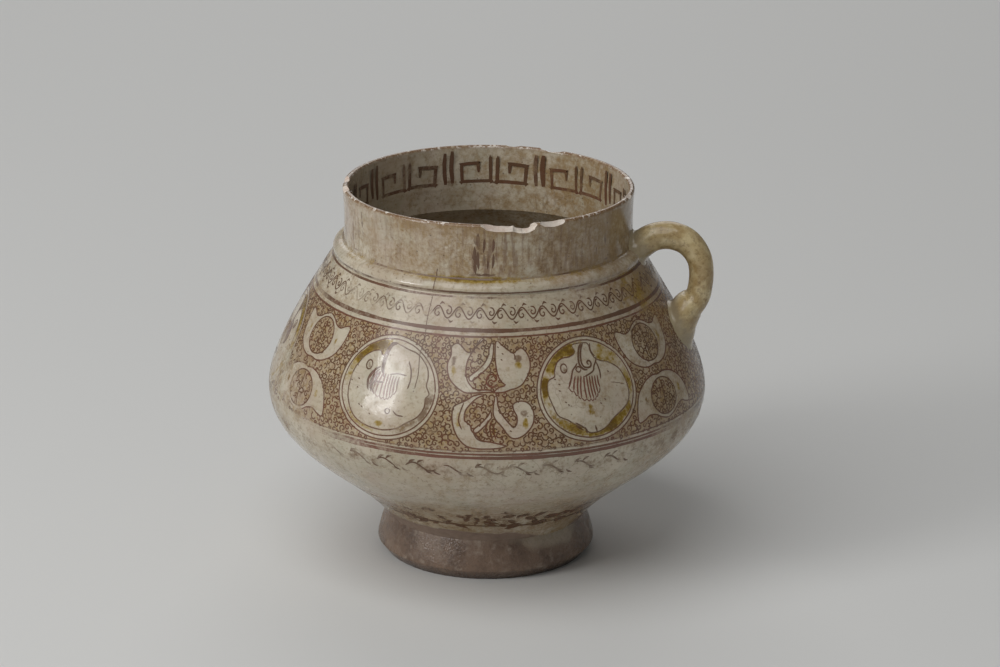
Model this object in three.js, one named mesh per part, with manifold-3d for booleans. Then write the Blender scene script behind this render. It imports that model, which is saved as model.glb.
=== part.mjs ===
// A squat jar of glazed pottery with a wide belly, a straight neck, a turned foot ring and one
// looped handle. It is built the way such a jar is: two bowls joined at the belly, a foot and a
// neck luted on, a roll of clay round the neck joint, and a handle pressed on last.
// Millimetres, +Z up. The jar stands on z = 0 and its handle points along +X.

import * as THREE from 'three';
import { mergeVertices } from 'three/addons/utils/BufferGeometryUtils.js';
import Module from 'manifold-3d';

const wasm = await Module();
wasm.setup();

// Driving dimensions: the outline of the jar at its foot joint, belly, neck joint and rim
const WAIST = { radius: 37.5, z: 15 };
const BELLY = { radius: 80.6, z: 64 };
const SEAT_Z = 115.2;
const RIM_Z = 140;

// How steeply the outline leaves a joint, and how far the curve is pulled that way
const WAIST_CURVE = { degrees: 58.5, pull: 20.9 };
const BELLY_CURVE = { pullDown: 21.2, pullUp: 13.2 };
const SEAT_CURVE = { degrees: 120.6, pull: 16.9 };

// Joints
const LUTE_GAP = 0.3; // film of slip between two luted faces
const SCARF_DROP = 6; // how far below the belly the sloping joint of the two bowls comes out

// Walls and glaze
const WALL = 4.5;
const FLOOR = { thickness: 7, turnHeight: 7.6 }; // the floor turns up into the wall
const GLAZE_HEM = { above: 4.2, step: 0.4, height: 1.6 }; // the thick edge where the glaze stops

// Foot ring, and the turned boss on the bowl that centres it
const FOOT = { edgeRadius: 40.3, edgeZ: 4.6, bevel: 2.9, drawnIn: 1.1, innerRadius: 31.6, round: 0.9 };
const BOSS = { clearance: 1, drop: 5.6, round: 2.2 };

// Neck, and the roll of clay that covers its joint
const NECK = { footRadius: 53.3, rimRadius: 53.2, drawnIn: 0.6, wall: 3.3 };
const LIP = { round: 1.15, flareHeight: 16 };
const CORDON = { width: 2.9, height: 4.4, proud: 0.7, swellUp: 0.6 };

// Chips knocked out of the lip: the largest, and where the others are and their share of it
const CHIP = { length: 17, depth: 2.6, tilt: 24 };
const CHIPS = [
  { degrees: -68, long: 1, deep: 1 },
  { degrees: -54, long: 0.7, deep: 0.45 },
  { degrees: 71, long: 0.6, deep: 0.6 },
  { degrees: -172, long: 0.5, deep: 0.4 },
];

// Handle: one rolled strand. reach and rise are to the strand's middle from the foot of the neck,
// and rootDrop is the depth below the neck joint at which the strand ends under the shoulder.
const HANDLE = { strand: 10, reach: 25.1, rise: 8.4, rootDrop: 36.7 };

// The loop: out and up are shares of the reach and the rise. thick, the strand across the loop,
// and wide, the strand along Y, are shares of the strand.
const LOOP_STATIONS = [
  { out: -0.2, up: -0.16, thick: 1.16, wide: 1.5 },
  { out: 0.065, up: 0.42, thick: 1.08, wide: 1.25 },
  { out: 0.29, up: 0.88, thick: 1.03, wide: 1.06 },
  { out: 0.54, up: 1, thick: 1.03, wide: 1.03 },
  { out: 0.785, up: 0.74, thick: 1, wide: 1.02 },
  { out: 0.95, up: 0.12, thick: 0.94, wide: 1.02 },
  { out: 1, up: -0.62, thick: 0.91, wide: 1.02 },
];

// The root: drop is a share of rootDrop, and off, how far the strand's middle stands off the
// shoulder there, is a share of the strand.
const ROOT_STATIONS = [
  { drop: 0.33, off: 1.4, thick: 0.92, wide: 1.08 },
  { drop: 0.42, off: 1.06, thick: 0.98, wide: 1.3 },
  { drop: 0.51, off: 0.58, thick: 1.18, wide: 1.72 },
  { drop: 0.66, off: 0.06, thick: 1.2, wide: 1.8 },
  { drop: 0.82, off: -0.25, thick: 1, wide: 1.4 },
  { drop: 1, off: -0.6, thick: 0.5, wide: 0.6 },
];

// Facets
const AROUND = 64;
const STRAND_SIDES = 20;
const RINGS_PER_STATION = 3;

const at = (radius, z) => new THREE.Vector2(radius, z);

// A point moved from another along a direction given in degrees above the horizontal
function pulled(from, degrees, distance) {
  const angle = THREE.MathUtils.degToRad(degrees);
  return at(from.x + distance * Math.cos(angle), from.y + distance * Math.sin(angle));
}

// The outline of the glazed body: a bowl curve up to the belly and a shoulder curve above it
const waistPoint = at(WAIST.radius, WAIST.z);
const bellyPoint = at(BELLY.radius, BELLY.z);
const seatPoint = at(NECK.footRadius + LUTE_GAP + CORDON.width, SEAT_Z);
const bowlCurve = new THREE.CubicBezierCurve(
  waistPoint,
  pulled(waistPoint, WAIST_CURVE.degrees, WAIST_CURVE.pull),
  pulled(bellyPoint, -90, BELLY_CURVE.pullDown),
  bellyPoint,
);
const shoulderCurve = new THREE.CubicBezierCurve(
  bellyPoint,
  pulled(bellyPoint, 90, BELLY_CURVE.pullUp),
  pulled(seatPoint, SEAT_CURVE.degrees, -SEAT_CURVE.pull),
  seatPoint,
);

// The place along a rising curve where it reaches a height
function parameterAt(curve, z) {
  let low = 0;
  let high = 1;
  for (let i = 0; i < 40; i += 1) {
    const middle = (low + high) / 2;
    if (curve.getPoint(middle).y < z) low = middle;
    else high = middle;
  }
  return (low + high) / 2;
}

// The stretch of a rising curve between two heights, as steps + 1 points
function stretch(curve, fromZ, toZ, steps) {
  const start = parameterAt(curve, fromZ);
  const end = parameterAt(curve, toZ);
  return Array.from({ length: steps + 1 }, (_, i) => curve.getPoint(start + ((end - start) * i) / steps));
}

// A rounded edge, as steps + 1 points
function arc(centre, radius, fromDegrees, toDegrees, steps) {
  return Array.from({ length: steps + 1 }, (_, i) =>
    pulled(centre, fromDegrees + ((toDegrees - fromDegrees) * i) / steps, radius));
}

// A rising line moved outward by a distance, or inward by a negative one
function offsetLine(points, distance) {
  return points.map((point, i) => {
    const before = points[Math.max(i - 1, 0)];
    const after = points[Math.min(i + 1, points.length - 1)];
    const along = after.clone().sub(before).normalize();
    return at(point.x + along.y * distance, point.y - along.x * distance);
  });
}

// A turned piece. The profile goes up the outside and down the inside.
function turned(profile) {
  const onAxis = profile[0].x === 0 && profile.at(-1).x === 0;
  const line = onAxis ? profile : [...profile, profile[0].clone()];
  return new THREE.LatheGeometry(line, AROUND).rotateX(Math.PI / 2);
}

function toSolid(geometry) {
  const plain = geometry.clone();
  plain.deleteAttribute('normal');
  plain.deleteAttribute('uv');
  const merged = mergeVertices(plain, 1e-4);
  return new wasm.Manifold(new wasm.Mesh({
    numProp: 3,
    vertProperties: new Float32Array(merged.getAttribute('position').array),
    triVerts: new Uint32Array(merged.getIndex().array),
  }));
}

function toGeometry(solid) {
  const mesh = solid.getMesh();
  const geometry = new THREE.BufferGeometry();
  geometry.setAttribute('position', new THREE.BufferAttribute(mesh.vertProperties, 3));
  geometry.setIndex(new THREE.BufferAttribute(mesh.triVerts, 1));
  return geometry;
}

// Foot ring: a flared ring, bevelled below its edge and open in the middle
function footRing() {
  const top = at(WAIST.radius, WAIST.z - LUTE_GAP);
  const edge = at(FOOT.edgeRadius, FOOT.edgeZ);
  const middle = at(FOOT.edgeRadius - FOOT.drawnIn, (edge.y + top.y) / 2);
  const flank = new THREE.QuadraticBezierCurve(edge, middle, top).getPoints(4);
  const innerEdge = at(FOOT.innerRadius + FOOT.round, FOOT.round);
  return turned([
    at(FOOT.edgeRadius - FOOT.bevel, 0),
    at(FOOT.edgeRadius - FOOT.round, FOOT.edgeZ - 2 * FOOT.round),
    ...flank,
    at(FOOT.innerRadius, top.y),
    ...arc(innerEdge, FOOT.round, 180, 270, 2),
  ]);
}

// The sloping face where the two bowls meet, from its outer edge to its inner one
const scarfOutsideZ = BELLY.z - SCARF_DROP;
const scarfInside = at(BELLY.radius - WALL, scarfOutsideZ + WALL);
const bossZ = WAIST.z - BOSS.drop;

// The inside of the lower bowl, from the middle of its floor up to the sloping face
function hollowLine() {
  const floorZ = bossZ + FLOOR.thickness;
  const wall = offsetLine(stretch(bowlCurve, floorZ + FLOOR.turnHeight, scarfOutsideZ, 7), -WALL);
  const slope = (wall[1].x - wall[0].x) / (wall[1].y - wall[0].y);
  const turn = at(wall[0].x - (wall[0].y - floorZ) * slope, floorZ);
  const floor = new THREE.QuadraticBezierCurve(at(0, floorZ), turn, wall[0]).getPoints(5);
  return [...floor, ...wall.slice(1), scarfInside];
}

// Lower bowl: boss and waist below, glaze hem on the outside, sloping face on top
function lowerBody() {
  const hemZ = WAIST.z + GLAZE_HEM.above;
  const hemTop = hemZ + GLAZE_HEM.height;
  const bare = offsetLine(stretch(bowlCurve, WAIST.z, hemZ, 2), -GLAZE_HEM.step);
  const hem = offsetLine(stretch(bowlCurve, hemZ, hemTop, 2), GLAZE_HEM.step / 2);
  const bossRadius = FOOT.innerRadius - BOSS.clearance;
  const bossEdge = at(bossRadius - BOSS.round, bossZ + BOSS.round);
  return turned([
    at(0, bossZ),
    ...arc(bossEdge, BOSS.round, -90, 0, 2),
    at(bossRadius, WAIST.z),
    ...bare,
    ...hem,
    ...stretch(bowlCurve, hemTop + GLAZE_HEM.height, scarfOutsideZ, 9),
    ...hollowLine().reverse(),
  ]);
}

// Upper bowl, joined upside down: sloping face, belly, shoulder, and a level seat for the neck
function upperBody() {
  const rise = LUTE_GAP * Math.SQRT2;
  const belly = stretch(bowlCurve, scarfOutsideZ + rise, BELLY.z, 2).slice(0, -1);
  const shoulder = stretch(shoulderCurve, BELLY.z, SEAT_Z, 10);
  const inside = offsetLine(shoulder.slice(0, -1), -WALL).reverse();
  const seatInside = at(NECK.footRadius - NECK.wall, SEAT_Z);
  return turned([...belly, ...shoulder, seatInside, ...inside, pulled(scarfInside, 90, rise)]);
}

// The outside of the neck: a wall drawn in a little at half height
const neckFoot = at(NECK.footRadius, SEAT_Z + LUTE_GAP);
const neckTop = at(NECK.rimRadius, RIM_Z - LIP.round);
const neckMiddle = neckFoot.clone().lerp(neckTop, 0.5).sub(at(2 * NECK.drawnIn, 0));
const neckCurve = new THREE.QuadraticBezierCurve(neckFoot, neckMiddle, neckTop);
const neckOutside = () => neckCurve.getPoints(4);

// One chip: a flattened ball that bites into the lip
function chipTool({ degrees, long, deep }) {
  const tool = new THREE.IcosahedronGeometry(1, 2);
  tool.scale(NECK.wall, (CHIP.length * long) / 2, CHIP.depth * deep);
  tool.rotateY(THREE.MathUtils.degToRad(CHIP.tilt));
  tool.translate(NECK.rimRadius, 0, RIM_Z);
  tool.rotateZ(THREE.MathUtils.degToRad(degrees));
  return toSolid(tool);
}

// Neck: a thin collar with a rounded lip, chipped in places
function neckCollar() {
  const lipCentre = at(NECK.rimRadius - LIP.round, RIM_Z - LIP.round);
  const lip = arc(lipCentre, LIP.round, 0, 180, 6).slice(1);
  const innerRadius = NECK.footRadius - NECK.wall;
  const inside = [at(innerRadius, RIM_Z - LIP.flareHeight), at(innerRadius, SEAT_Z + LUTE_GAP)];
  const whole = toSolid(turned([...neckOutside(), ...lip, ...inside]));
  return toGeometry(CHIPS.reduce((solid, chip) => solid.subtract(chipTool(chip)), whole));
}

// The face of the roll of clay that lies against the neck wall, from the seat up
const cordonTopZ = neckFoot.y + CORDON.height;
const cordonInside = () => offsetLine(stretch(neckCurve, neckFoot.y, cordonTopZ, 2), LUTE_GAP);

// The outside of the roll round the neck joint, from the seat up to the neck wall
function cordonOutside() {
  const low = pulled(seatPoint, 90, LUTE_GAP);
  const high = cordonInside().at(-1);
  const swell = at(low.x + 2 * CORDON.proud, (low.y + high.y) / 2 + CORDON.swellUp);
  return new THREE.QuadraticBezierCurve(low, swell, high).getPoints(5);
}

function neckCordon() {
  return turned([...cordonOutside(), ...cordonInside().reverse().slice(1)]);
}

// Everything that the handle is pressed against, grown by the film of slip
function bodyEnvelope() {
  const below = stretch(bowlCurve, scarfOutsideZ, BELLY.z, 2).slice(0, -1);
  const shoulder = stretch(shoulderCurve, BELLY.z, SEAT_Z, 10);
  const above = neckOutside().slice(1);
  const outside = offsetLine([...below, ...shoulder, ...cordonOutside(), ...above], LUTE_GAP);
  return toSolid(turned([at(WAIST.radius, scarfOutsideZ), ...outside, at(WAIST.radius, RIM_Z)]));
}

// The stations of the strand: places of its middle, and its size there
function handleStations() {
  const loop = LOOP_STATIONS.map(({ out, up, ...size }) =>
    ({ r: NECK.footRadius + HANDLE.reach * out, z: SEAT_Z + HANDLE.rise * up, ...size }));
  const root = ROOT_STATIONS.map(({ drop, off, ...size }) => {
    const z = SEAT_Z - HANDLE.rootDrop * drop;
    const surface = shoulderCurve.getPoint(parameterAt(shoulderCurve, z));
    return { r: surface.x + HANDLE.strand * off, z, ...size };
  });
  return [...loop, ...root];
}

// The rolled strand before its roots are cut to the jar: rings of ellipses along the stations
function strand() {
  const stations = handleStations();
  const middle = new THREE.CatmullRomCurve3(stations.map(({ r, z }) => new THREE.Vector3(r, 0, z)));
  const halves = new THREE.CatmullRomCurve3(
    stations.map(({ thick, wide }) => new THREE.Vector3(thick, wide, 0).multiplyScalar(HANDLE.strand / 2)),
  );
  const rings = (stations.length - 1) * RINGS_PER_STATION;
  const positions = [];
  const triangles = [];
  for (let ring = 0; ring <= rings; ring += 1) {
    const centre = middle.getPoint(ring / rings);
    const along = middle.getTangent(ring / rings);
    const half = halves.getPoint(ring / rings);
    const across = new THREE.Vector3(-along.z, 0, along.x);
    for (let side = 0; side < STRAND_SIDES; side += 1) {
      const turn = (2 * Math.PI * side) / STRAND_SIDES;
      const point = centre.clone().addScaledVector(across, half.x * Math.cos(turn));
      positions.push(point.x, half.y * Math.sin(turn), point.z);
    }
  }
  for (let ring = 0; ring < rings; ring += 1) {
    for (let side = 0; side < STRAND_SIDES; side += 1) {
      const a = ring * STRAND_SIDES + side;
      const b = ring * STRAND_SIDES + ((side + 1) % STRAND_SIDES);
      triangles.push(a, a + STRAND_SIDES, b, b, a + STRAND_SIDES, b + STRAND_SIDES);
    }
  }
  const last = rings * STRAND_SIDES;
  for (let side = 1; side < STRAND_SIDES - 1; side += 1) {
    triangles.push(0, side, side + 1);
    triangles.push(last, last + side + 1, last + side);
  }
  const geometry = new THREE.BufferGeometry();
  geometry.setAttribute('position', new THREE.Float32BufferAttribute(positions, 3));
  geometry.setIndex(triangles);
  return geometry;
}

function handleLoop() {
  return toGeometry(toSolid(strand()).subtract(bodyEnvelope()));
}

// Fired surfaces
const glaze = new THREE.MeshStandardMaterial({ color: '#b3a58b', roughness: 0.3, metalness: 0 });
const lustreGlaze = new THREE.MeshStandardMaterial({ color: '#a98f5e', roughness: 0.3, metalness: 0.1 });
const bareClay = new THREE.MeshStandardMaterial({ color: '#7b685c', roughness: 0.8, metalness: 0 });

const pot = new THREE.Group();

function addPiece(name, geometry, material) {
  const piece = new THREE.Mesh(geometry, material);
  piece.name = name;
  pot.add(piece);
  return piece;
}

addPiece('foot_ring', footRing(), bareClay);
addPiece('lower_body', lowerBody(), glaze);
addPiece('upper_body', upperBody(), glaze);
addPiece('neck', neckCollar(), glaze);
addPiece('neck_cordon', neckCordon(), glaze);
const handle = addPiece('handle', handleLoop(), lustreGlaze);

// The jar and its handle together centre on the origin, so the turning axis stands behind it
handle.geometry.computeBoundingBox();
pot.position.x = (BELLY.radius - handle.geometry.boundingBox.max.x) / 2;

const group = new THREE.Group();
group.add(pot);

export default group;
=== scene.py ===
"""A squat jar of glazed pottery painted in brown lustre, with one looped handle.

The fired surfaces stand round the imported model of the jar, and the brush strokes are laid on them.
Drawings are in millimetres, and everything becomes metres when it is made a mesh.
"""

import math

import bpy
import numpy as np
from bpy.props import FloatProperty, FloatVectorProperty, IntProperty, PointerProperty
from mathutils import Matrix, Vector, noise


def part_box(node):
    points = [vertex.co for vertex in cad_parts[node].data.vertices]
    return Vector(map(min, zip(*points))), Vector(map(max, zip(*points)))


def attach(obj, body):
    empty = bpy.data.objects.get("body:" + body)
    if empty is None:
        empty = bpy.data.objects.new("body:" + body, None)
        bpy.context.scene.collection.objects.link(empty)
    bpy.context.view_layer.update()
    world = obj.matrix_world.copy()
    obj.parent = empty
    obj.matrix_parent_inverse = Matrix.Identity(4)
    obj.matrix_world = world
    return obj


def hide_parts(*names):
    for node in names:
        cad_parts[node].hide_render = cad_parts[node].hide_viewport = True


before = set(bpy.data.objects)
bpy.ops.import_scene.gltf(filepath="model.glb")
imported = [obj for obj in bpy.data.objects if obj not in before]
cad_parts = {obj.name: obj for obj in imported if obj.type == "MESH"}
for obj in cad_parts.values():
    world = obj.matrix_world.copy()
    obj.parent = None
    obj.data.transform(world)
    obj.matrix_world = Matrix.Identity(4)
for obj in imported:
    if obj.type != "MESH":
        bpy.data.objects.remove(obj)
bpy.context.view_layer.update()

bl_info = {
    "name": "Lustre Jar",
    "version": (1, 0, 0),
    "blender": (4, 5, 0),
    "location": "3D View > Sidebar > Lustre Jar",
    "description": "Builds the fired surfaces and the painted ornament of a small handled jar",
    "category": "Object",
}

MM = 0.001

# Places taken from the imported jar, in millimetres
FOOT_LOW, FOOT_HIGH = (Vector(corner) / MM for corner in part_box("foot_ring"))
UPPER_HIGH = Vector(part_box("upper_body")[1]) / MM
NECK_LOW, NECK_HIGH = (Vector(corner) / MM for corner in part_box("neck"))
AXIS_X = (FOOT_LOW.x + FOOT_HIGH.x) / 2
EDGE_RADIUS = FOOT_HIGH.y
BELLY_RADIUS = UPPER_HIGH.y
NECK_RADIUS = NECK_HIGH.y
SEAT_Z = UPPER_HIGH.z
RIM_Z = NECK_HIGH.z
LUTE_GAP = NECK_LOW.z - SEAT_Z
WAIST_Z = FOOT_HIGH.z + LUTE_GAP

# The outline of the glazed body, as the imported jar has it
WAIST_RADIUS = 37.5
BELLY_Z = 64.0
CORDON_WIDTH = 2.9
SEAT_RADIUS = NECK_RADIUS + LUTE_GAP + CORDON_WIDTH
WAIST_CURVE = {"degrees": 58.5, "pull": 20.9}
BELLY_CURVE = {"down": 21.2, "up": 13.2}
SEAT_CURVE = {"degrees": 120.6, "pull": 16.9}
SCARF_Z = 58.0
WALL = 4.5
NECK_WALL = 3.3
NECK_DRAWN_IN = 0.6
LIP_ROUND = 1.15

# The foot, the floor and the boss under it, and the roll round the neck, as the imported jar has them
FOOT = {"inner": 31.6, "edge_z": 4.6, "drawn_in": 1.1, "bevel": 2.9, "tread_round": 0.3, "round": 0.9}
BOSS = {"radius": 30.6, "z": 9.4, "round": 2.2}
FLOOR = {"thickness": 7, "turn_height": 7.6}
ROLL_SHAPE = {"height": 4.7, "swell": 1.4, "swell_up": 0.6}

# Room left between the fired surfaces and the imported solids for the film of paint
PAINT_ROOM = 0.06


def point(radius, z):
    return np.array([radius, z], dtype=float)


def pulled(start, degrees, distance):
    """A point moved from another along a direction given in degrees above the horizontal."""
    angle = math.radians(degrees)
    return start + distance * np.array([math.cos(angle), math.sin(angle)])


def bezier(ends, steps):
    """A cubic curve through four control points, or a quadratic one through three."""
    t = np.linspace(0, 1, steps + 1)[:, None]
    if len(ends) == 3:
        return (1 - t) ** 2 * ends[0] + 2 * t * (1 - t) * ends[1] + t**2 * ends[2]
    first = (1 - t) ** 3 * ends[0] + 3 * t * (1 - t) ** 2 * ends[1]
    return first + 3 * t**2 * (1 - t) * ends[2] + t**3 * ends[3]


def arc(centre, radius, start, end, steps):
    return np.array([pulled(centre, degrees, radius) for degrees in np.linspace(start, end, steps + 1)])


def offset(line, distance):
    """A rising line moved outward, or inward by a negative distance."""
    along = np.gradient(line, axis=0)
    along /= np.linalg.norm(along, axis=1)[:, None]
    return line + distance * np.column_stack([along[:, 1], -along[:, 0]])


def run_lengths(line):
    """The distance along a line at each of its points."""
    return np.concatenate([[0], np.cumsum(np.linalg.norm(np.diff(line, axis=0), axis=1))])


def at_length(line, lengths):
    """Points at the given distances along a line."""
    runs = run_lengths(line)
    return np.column_stack([np.interp(lengths, runs, line[:, i]) for i in range(2)])


def spline(knots, steps_each):
    """A smooth line through the knots. A knot given twice makes a corner."""
    knots = np.asarray(knots, dtype=float)
    closed = np.allclose(knots[0], knots[-1])
    before = knots[-2] if closed else 2 * knots[0] - knots[1]
    after = knots[1] if closed else 2 * knots[-1] - knots[-2]
    padded = np.vstack([before, knots, after])
    t = np.linspace(0, 1, steps_each, endpoint=False)[:, None]
    runs = []
    for a, b, c, d in zip(padded, padded[1:], padded[2:], padded[3:]):
        bend = (2 * a - 5 * b + 4 * c - d) * t**2 + (3 * b - 3 * c + d - a) * t**3
        runs.append(0.5 * (2 * b + (c - a) * t + bend))
    return np.vstack(runs + [knots[-1:]])


def smooth_step(values, low, high):
    share = np.clip((values - low) / (high - low), 0, 1)
    return share * share * (3 - 2 * share)


def between(values, low, full, falls, gone):
    """Rises from nothing at low to one at full, and fades again from falls to gone."""
    return smooth_step(values, low, full) * (1 - smooth_step(values, falls, gone))


def wobble(angle, seed, waves=(3, 5, 8, 13, 21)):
    """An uneven value between about -1 and 1 that joins up once round the jar."""
    random = np.random.default_rng(seed)
    return sum(np.sin(n * angle + random.uniform(0, math.tau)) / k for k, n in enumerate(waves, 1)) / 2


waist = point(WAIST_RADIUS, WAIST_Z)
belly = point(BELLY_RADIUS, BELLY_Z)
seat = point(SEAT_RADIUS, SEAT_Z)
waist_pull = pulled(waist, WAIST_CURVE["degrees"], WAIST_CURVE["pull"])
BOWL = bezier([waist, waist_pull, pulled(belly, -90, BELLY_CURVE["down"]), belly], 400)
seat_pull = pulled(seat, SEAT_CURVE["degrees"], -SEAT_CURVE["pull"])
SHOULDER = bezier([belly, pulled(belly, 90, BELLY_CURVE["up"]), seat_pull, seat], 400)

# The painted outline: slant lengths are measured along it from the waist
OUTLINE = offset(np.vstack([BOWL, SHOULDER[1:]]), -PAINT_ROOM)
OUTLINE_LENGTH = run_lengths(OUTLINE)[-1]

# The neck's outside, and the roll of clay round its joint
neck_foot = point(NECK_RADIUS - PAINT_ROOM, SEAT_Z)
neck_rim = point(NECK_RADIUS - 0.1 - PAINT_ROOM, RIM_Z - LIP_ROUND)
neck_middle = (neck_foot + neck_rim) / 2 - (2 * NECK_DRAWN_IN, 0)
NECK_OUTSIDE = bezier([neck_foot, neck_middle, neck_rim], 40)
roll_z = SEAT_Z + ROLL_SHAPE["height"]
roll_low = point(SEAT_RADIUS - PAINT_ROOM, SEAT_Z)
roll_high = point(np.interp(roll_z, NECK_OUTSIDE[:, 1], NECK_OUTSIDE[:, 0]), roll_z)
roll_middle = (roll_low[1] + roll_high[1]) / 2
roll_swell = roll_low[0] + ROLL_SHAPE["swell"], roll_middle + ROLL_SHAPE["swell_up"]
ROLL = bezier([roll_low, point(*roll_swell), roll_high], 16)
NECK_OUTLINE = np.vstack([ROLL, NECK_OUTSIDE[NECK_OUTSIDE[:, 1] > roll_high[1] + 0.2]])
# The neck's inside, from the lip down, so that its slant lengths are depths below the lip
INNER_RADIUS = NECK_RADIUS - NECK_WALL
MOUTH_OUTLINE = np.array([point(INNER_RADIUS + 0.03, z) for z in np.linspace(RIM_Z, SEAT_Z, 50)])


def slant_at(z):
    """The slant length at which the painted outline reaches a height."""
    return float(np.interp(z, OUTLINE[:, 1], run_lengths(OUTLINE)))


def linear(code):
    """A linear colour from an sRGB hex code."""
    parts = [int(code[i : i + 2], 16) / 255 for i in (1, 3, 5)]
    return tuple(c / 12.92 if c <= 0.04045 else ((c + 0.055) / 1.055) ** 2.4 for c in parts) + (1.0,)


def size(name, text, value):
    """A length that a user can change, given in millimetres."""
    return FloatProperty(name=name, description=text, default=value * MM, unit="LENGTH", precision=5)


def shade(name, text, code):
    """A colour that a user can change."""
    settings = {"default": linear(code), "size": 4, "min": 0, "max": 1, "subtype": "COLOR"}
    return FloatVectorProperty(name=name, description=text, **settings)


class JarSizes(bpy.types.PropertyGroup):
    steps_round: IntProperty(
        name="Steps Round", description="Faces round each turned piece", default=720, min=64, max=1440
    )
    ring_step: size("Ring Step", "Height of the faces on the painted surfaces", 0.7)
    foot_round: size("Foot Rounding", "Rounding of the turned edges of the foot", 0.5)
    hem_height: size("Glaze Hem", "How far above the foot the glaze stops", 4.2)
    hem_step: size("Hem Step", "Thickness of the glaze where it stops", 0.34)
    chip_length: size("Chip Length", "Length of the largest chip in the lip", 17)
    chip_depth: size("Chip Depth", "Depth of the largest chip in the lip", 3.4)
    root_fillet: size("Root Fillet", "How far the clay is smeared out round the handle roots", 2.0)


class BrushSizes(bpy.types.PropertyGroup):
    film: size("Paint Film", "How far the painted strokes stand off the glaze", 0.04)
    unsteady: size("Unsteady Hand", "How far the brush wanders off its line", 0.16)
    curl_spacing: size("Curl Spacing", "Least distance between two curls of the ground", 1.9)
    curl_radius: size("Curl Radius", "Radius of the curls that fill the ground", 1.2)
    curl_line: size("Curl Line", "Half the width of the line of a curl", 0.25)
    curl_seed: IntProperty(name="Curl Seed", description="Where the curls of the ground fall", default=7)


class FinishColours(bpy.types.PropertyGroup):
    cream: shade("Cream Glaze", "The thick opaque glaze", "#b6a993")
    pale: shade("Pale Glaze", "Where the glaze pooled thickest", "#c6bca8")
    # The stain colour also paints shade on the side of the jar away from the left light and at its far left
    # edge
    stain_and_shade: shade("Stain", "Brown stains under the glaze", "#8c7148")
    lustre: shade("Lustre", "The brown lustre of the painting", "#5b3f2c")
    red_lustre: shade("Red Lustre", "Lustre that fired redder", "#713f31")
    olive: shade("Olive", "Olive spots that fill the leaves and birds", "#937812")
    clay: shade("Bare Clay", "The unglazed foot", "#7d6858")
    handle: shade("Handle Glaze", "The yellower glaze on the handle", "#b8a276")


def feed(tree, socket, value):
    """Gives an input a value, or links it to an output or to the first output of a node."""
    if isinstance(value, bpy.types.Node):
        value = next(s for s in value.outputs if s.enabled)
    if isinstance(value, bpy.types.NodeSocket):
        tree.links.new(value, socket)
    else:
        socket.default_value = value


def add(tree, kind, feeds=None, **settings):
    """Adds a node with its settings, and feeds its inputs, which are given by name or number."""
    made = tree.nodes.new(kind)
    for name, value in settings.items():
        setattr(made, name, value)
    for name, value in (feeds or {}).items():
        if isinstance(name, int):
            socket = made.inputs[name]
        else:
            socket = next(s for s in made.inputs if s.name == name and s.enabled)
        feed(tree, socket, value)
    return made


def geometry_tree(name, sockets):
    """A new geometry tree with a geometry input, named inputs, and a geometry output."""
    tree = bpy.data.node_groups.new(name, "GeometryNodeTree")
    tree.interface.new_socket(name="Geometry", in_out="INPUT", socket_type="NodeSocketGeometry")
    for label, kind in sockets:
        tree.interface.new_socket(name=label, in_out="INPUT", socket_type="NodeSocket" + kind)
    tree.interface.new_socket(name="Geometry", in_out="OUTPUT", socket_type="NodeSocketGeometry")
    return tree


# Edges that turn more than this many degrees are shaded sharp
CREASE = 40


def end_tree(tree, geometry, finish):
    """Shades smooth but for sharp edges, then coats and outputs the geometry."""
    smooth = add(tree, "GeometryNodeSetShadeSmooth", {"Geometry": geometry, "Shade Smooth": True})
    angle = add(tree, "GeometryNodeInputMeshEdgeAngle").outputs["Unsigned Angle"]
    feeds = {"A": angle, "B": math.radians(CREASE)}
    sharp = add(tree, "FunctionNodeCompare", feeds, operation="GREATER_THAN")
    feeds = {"Geometry": smooth, "Selection": sharp, "Shade Smooth": False}
    creased = add(tree, "GeometryNodeSetShadeSmooth", feeds, domain="EDGE")
    whole = add(tree, "GeometryNodeRealizeInstances", {"Geometry": creased})
    coated = add(tree, "GeometryNodeSetMaterial", {"Geometry": whole, "Material": finish})
    add(tree, "NodeGroupOutput", {"Geometry": coated})


def place_round(tree, angle, radius, height, axis):
    """The place at an angle round the jar's axis, at a distance from it and a height."""
    cosine = add(tree, "ShaderNodeMath", {0: angle}, operation="COSINE")
    sine = add(tree, "ShaderNodeMath", {0: angle}, operation="SINE")
    x = add(tree, "ShaderNodeMath", {0: radius, 1: cosine, 2: axis}, operation="MULTIPLY_ADD")
    y = add(tree, "ShaderNodeMath", {0: radius, 1: sine}, operation="MULTIPLY")
    return add(tree, "ShaderNodeCombineXYZ", {0: x, 1: y, 2: height})


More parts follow.
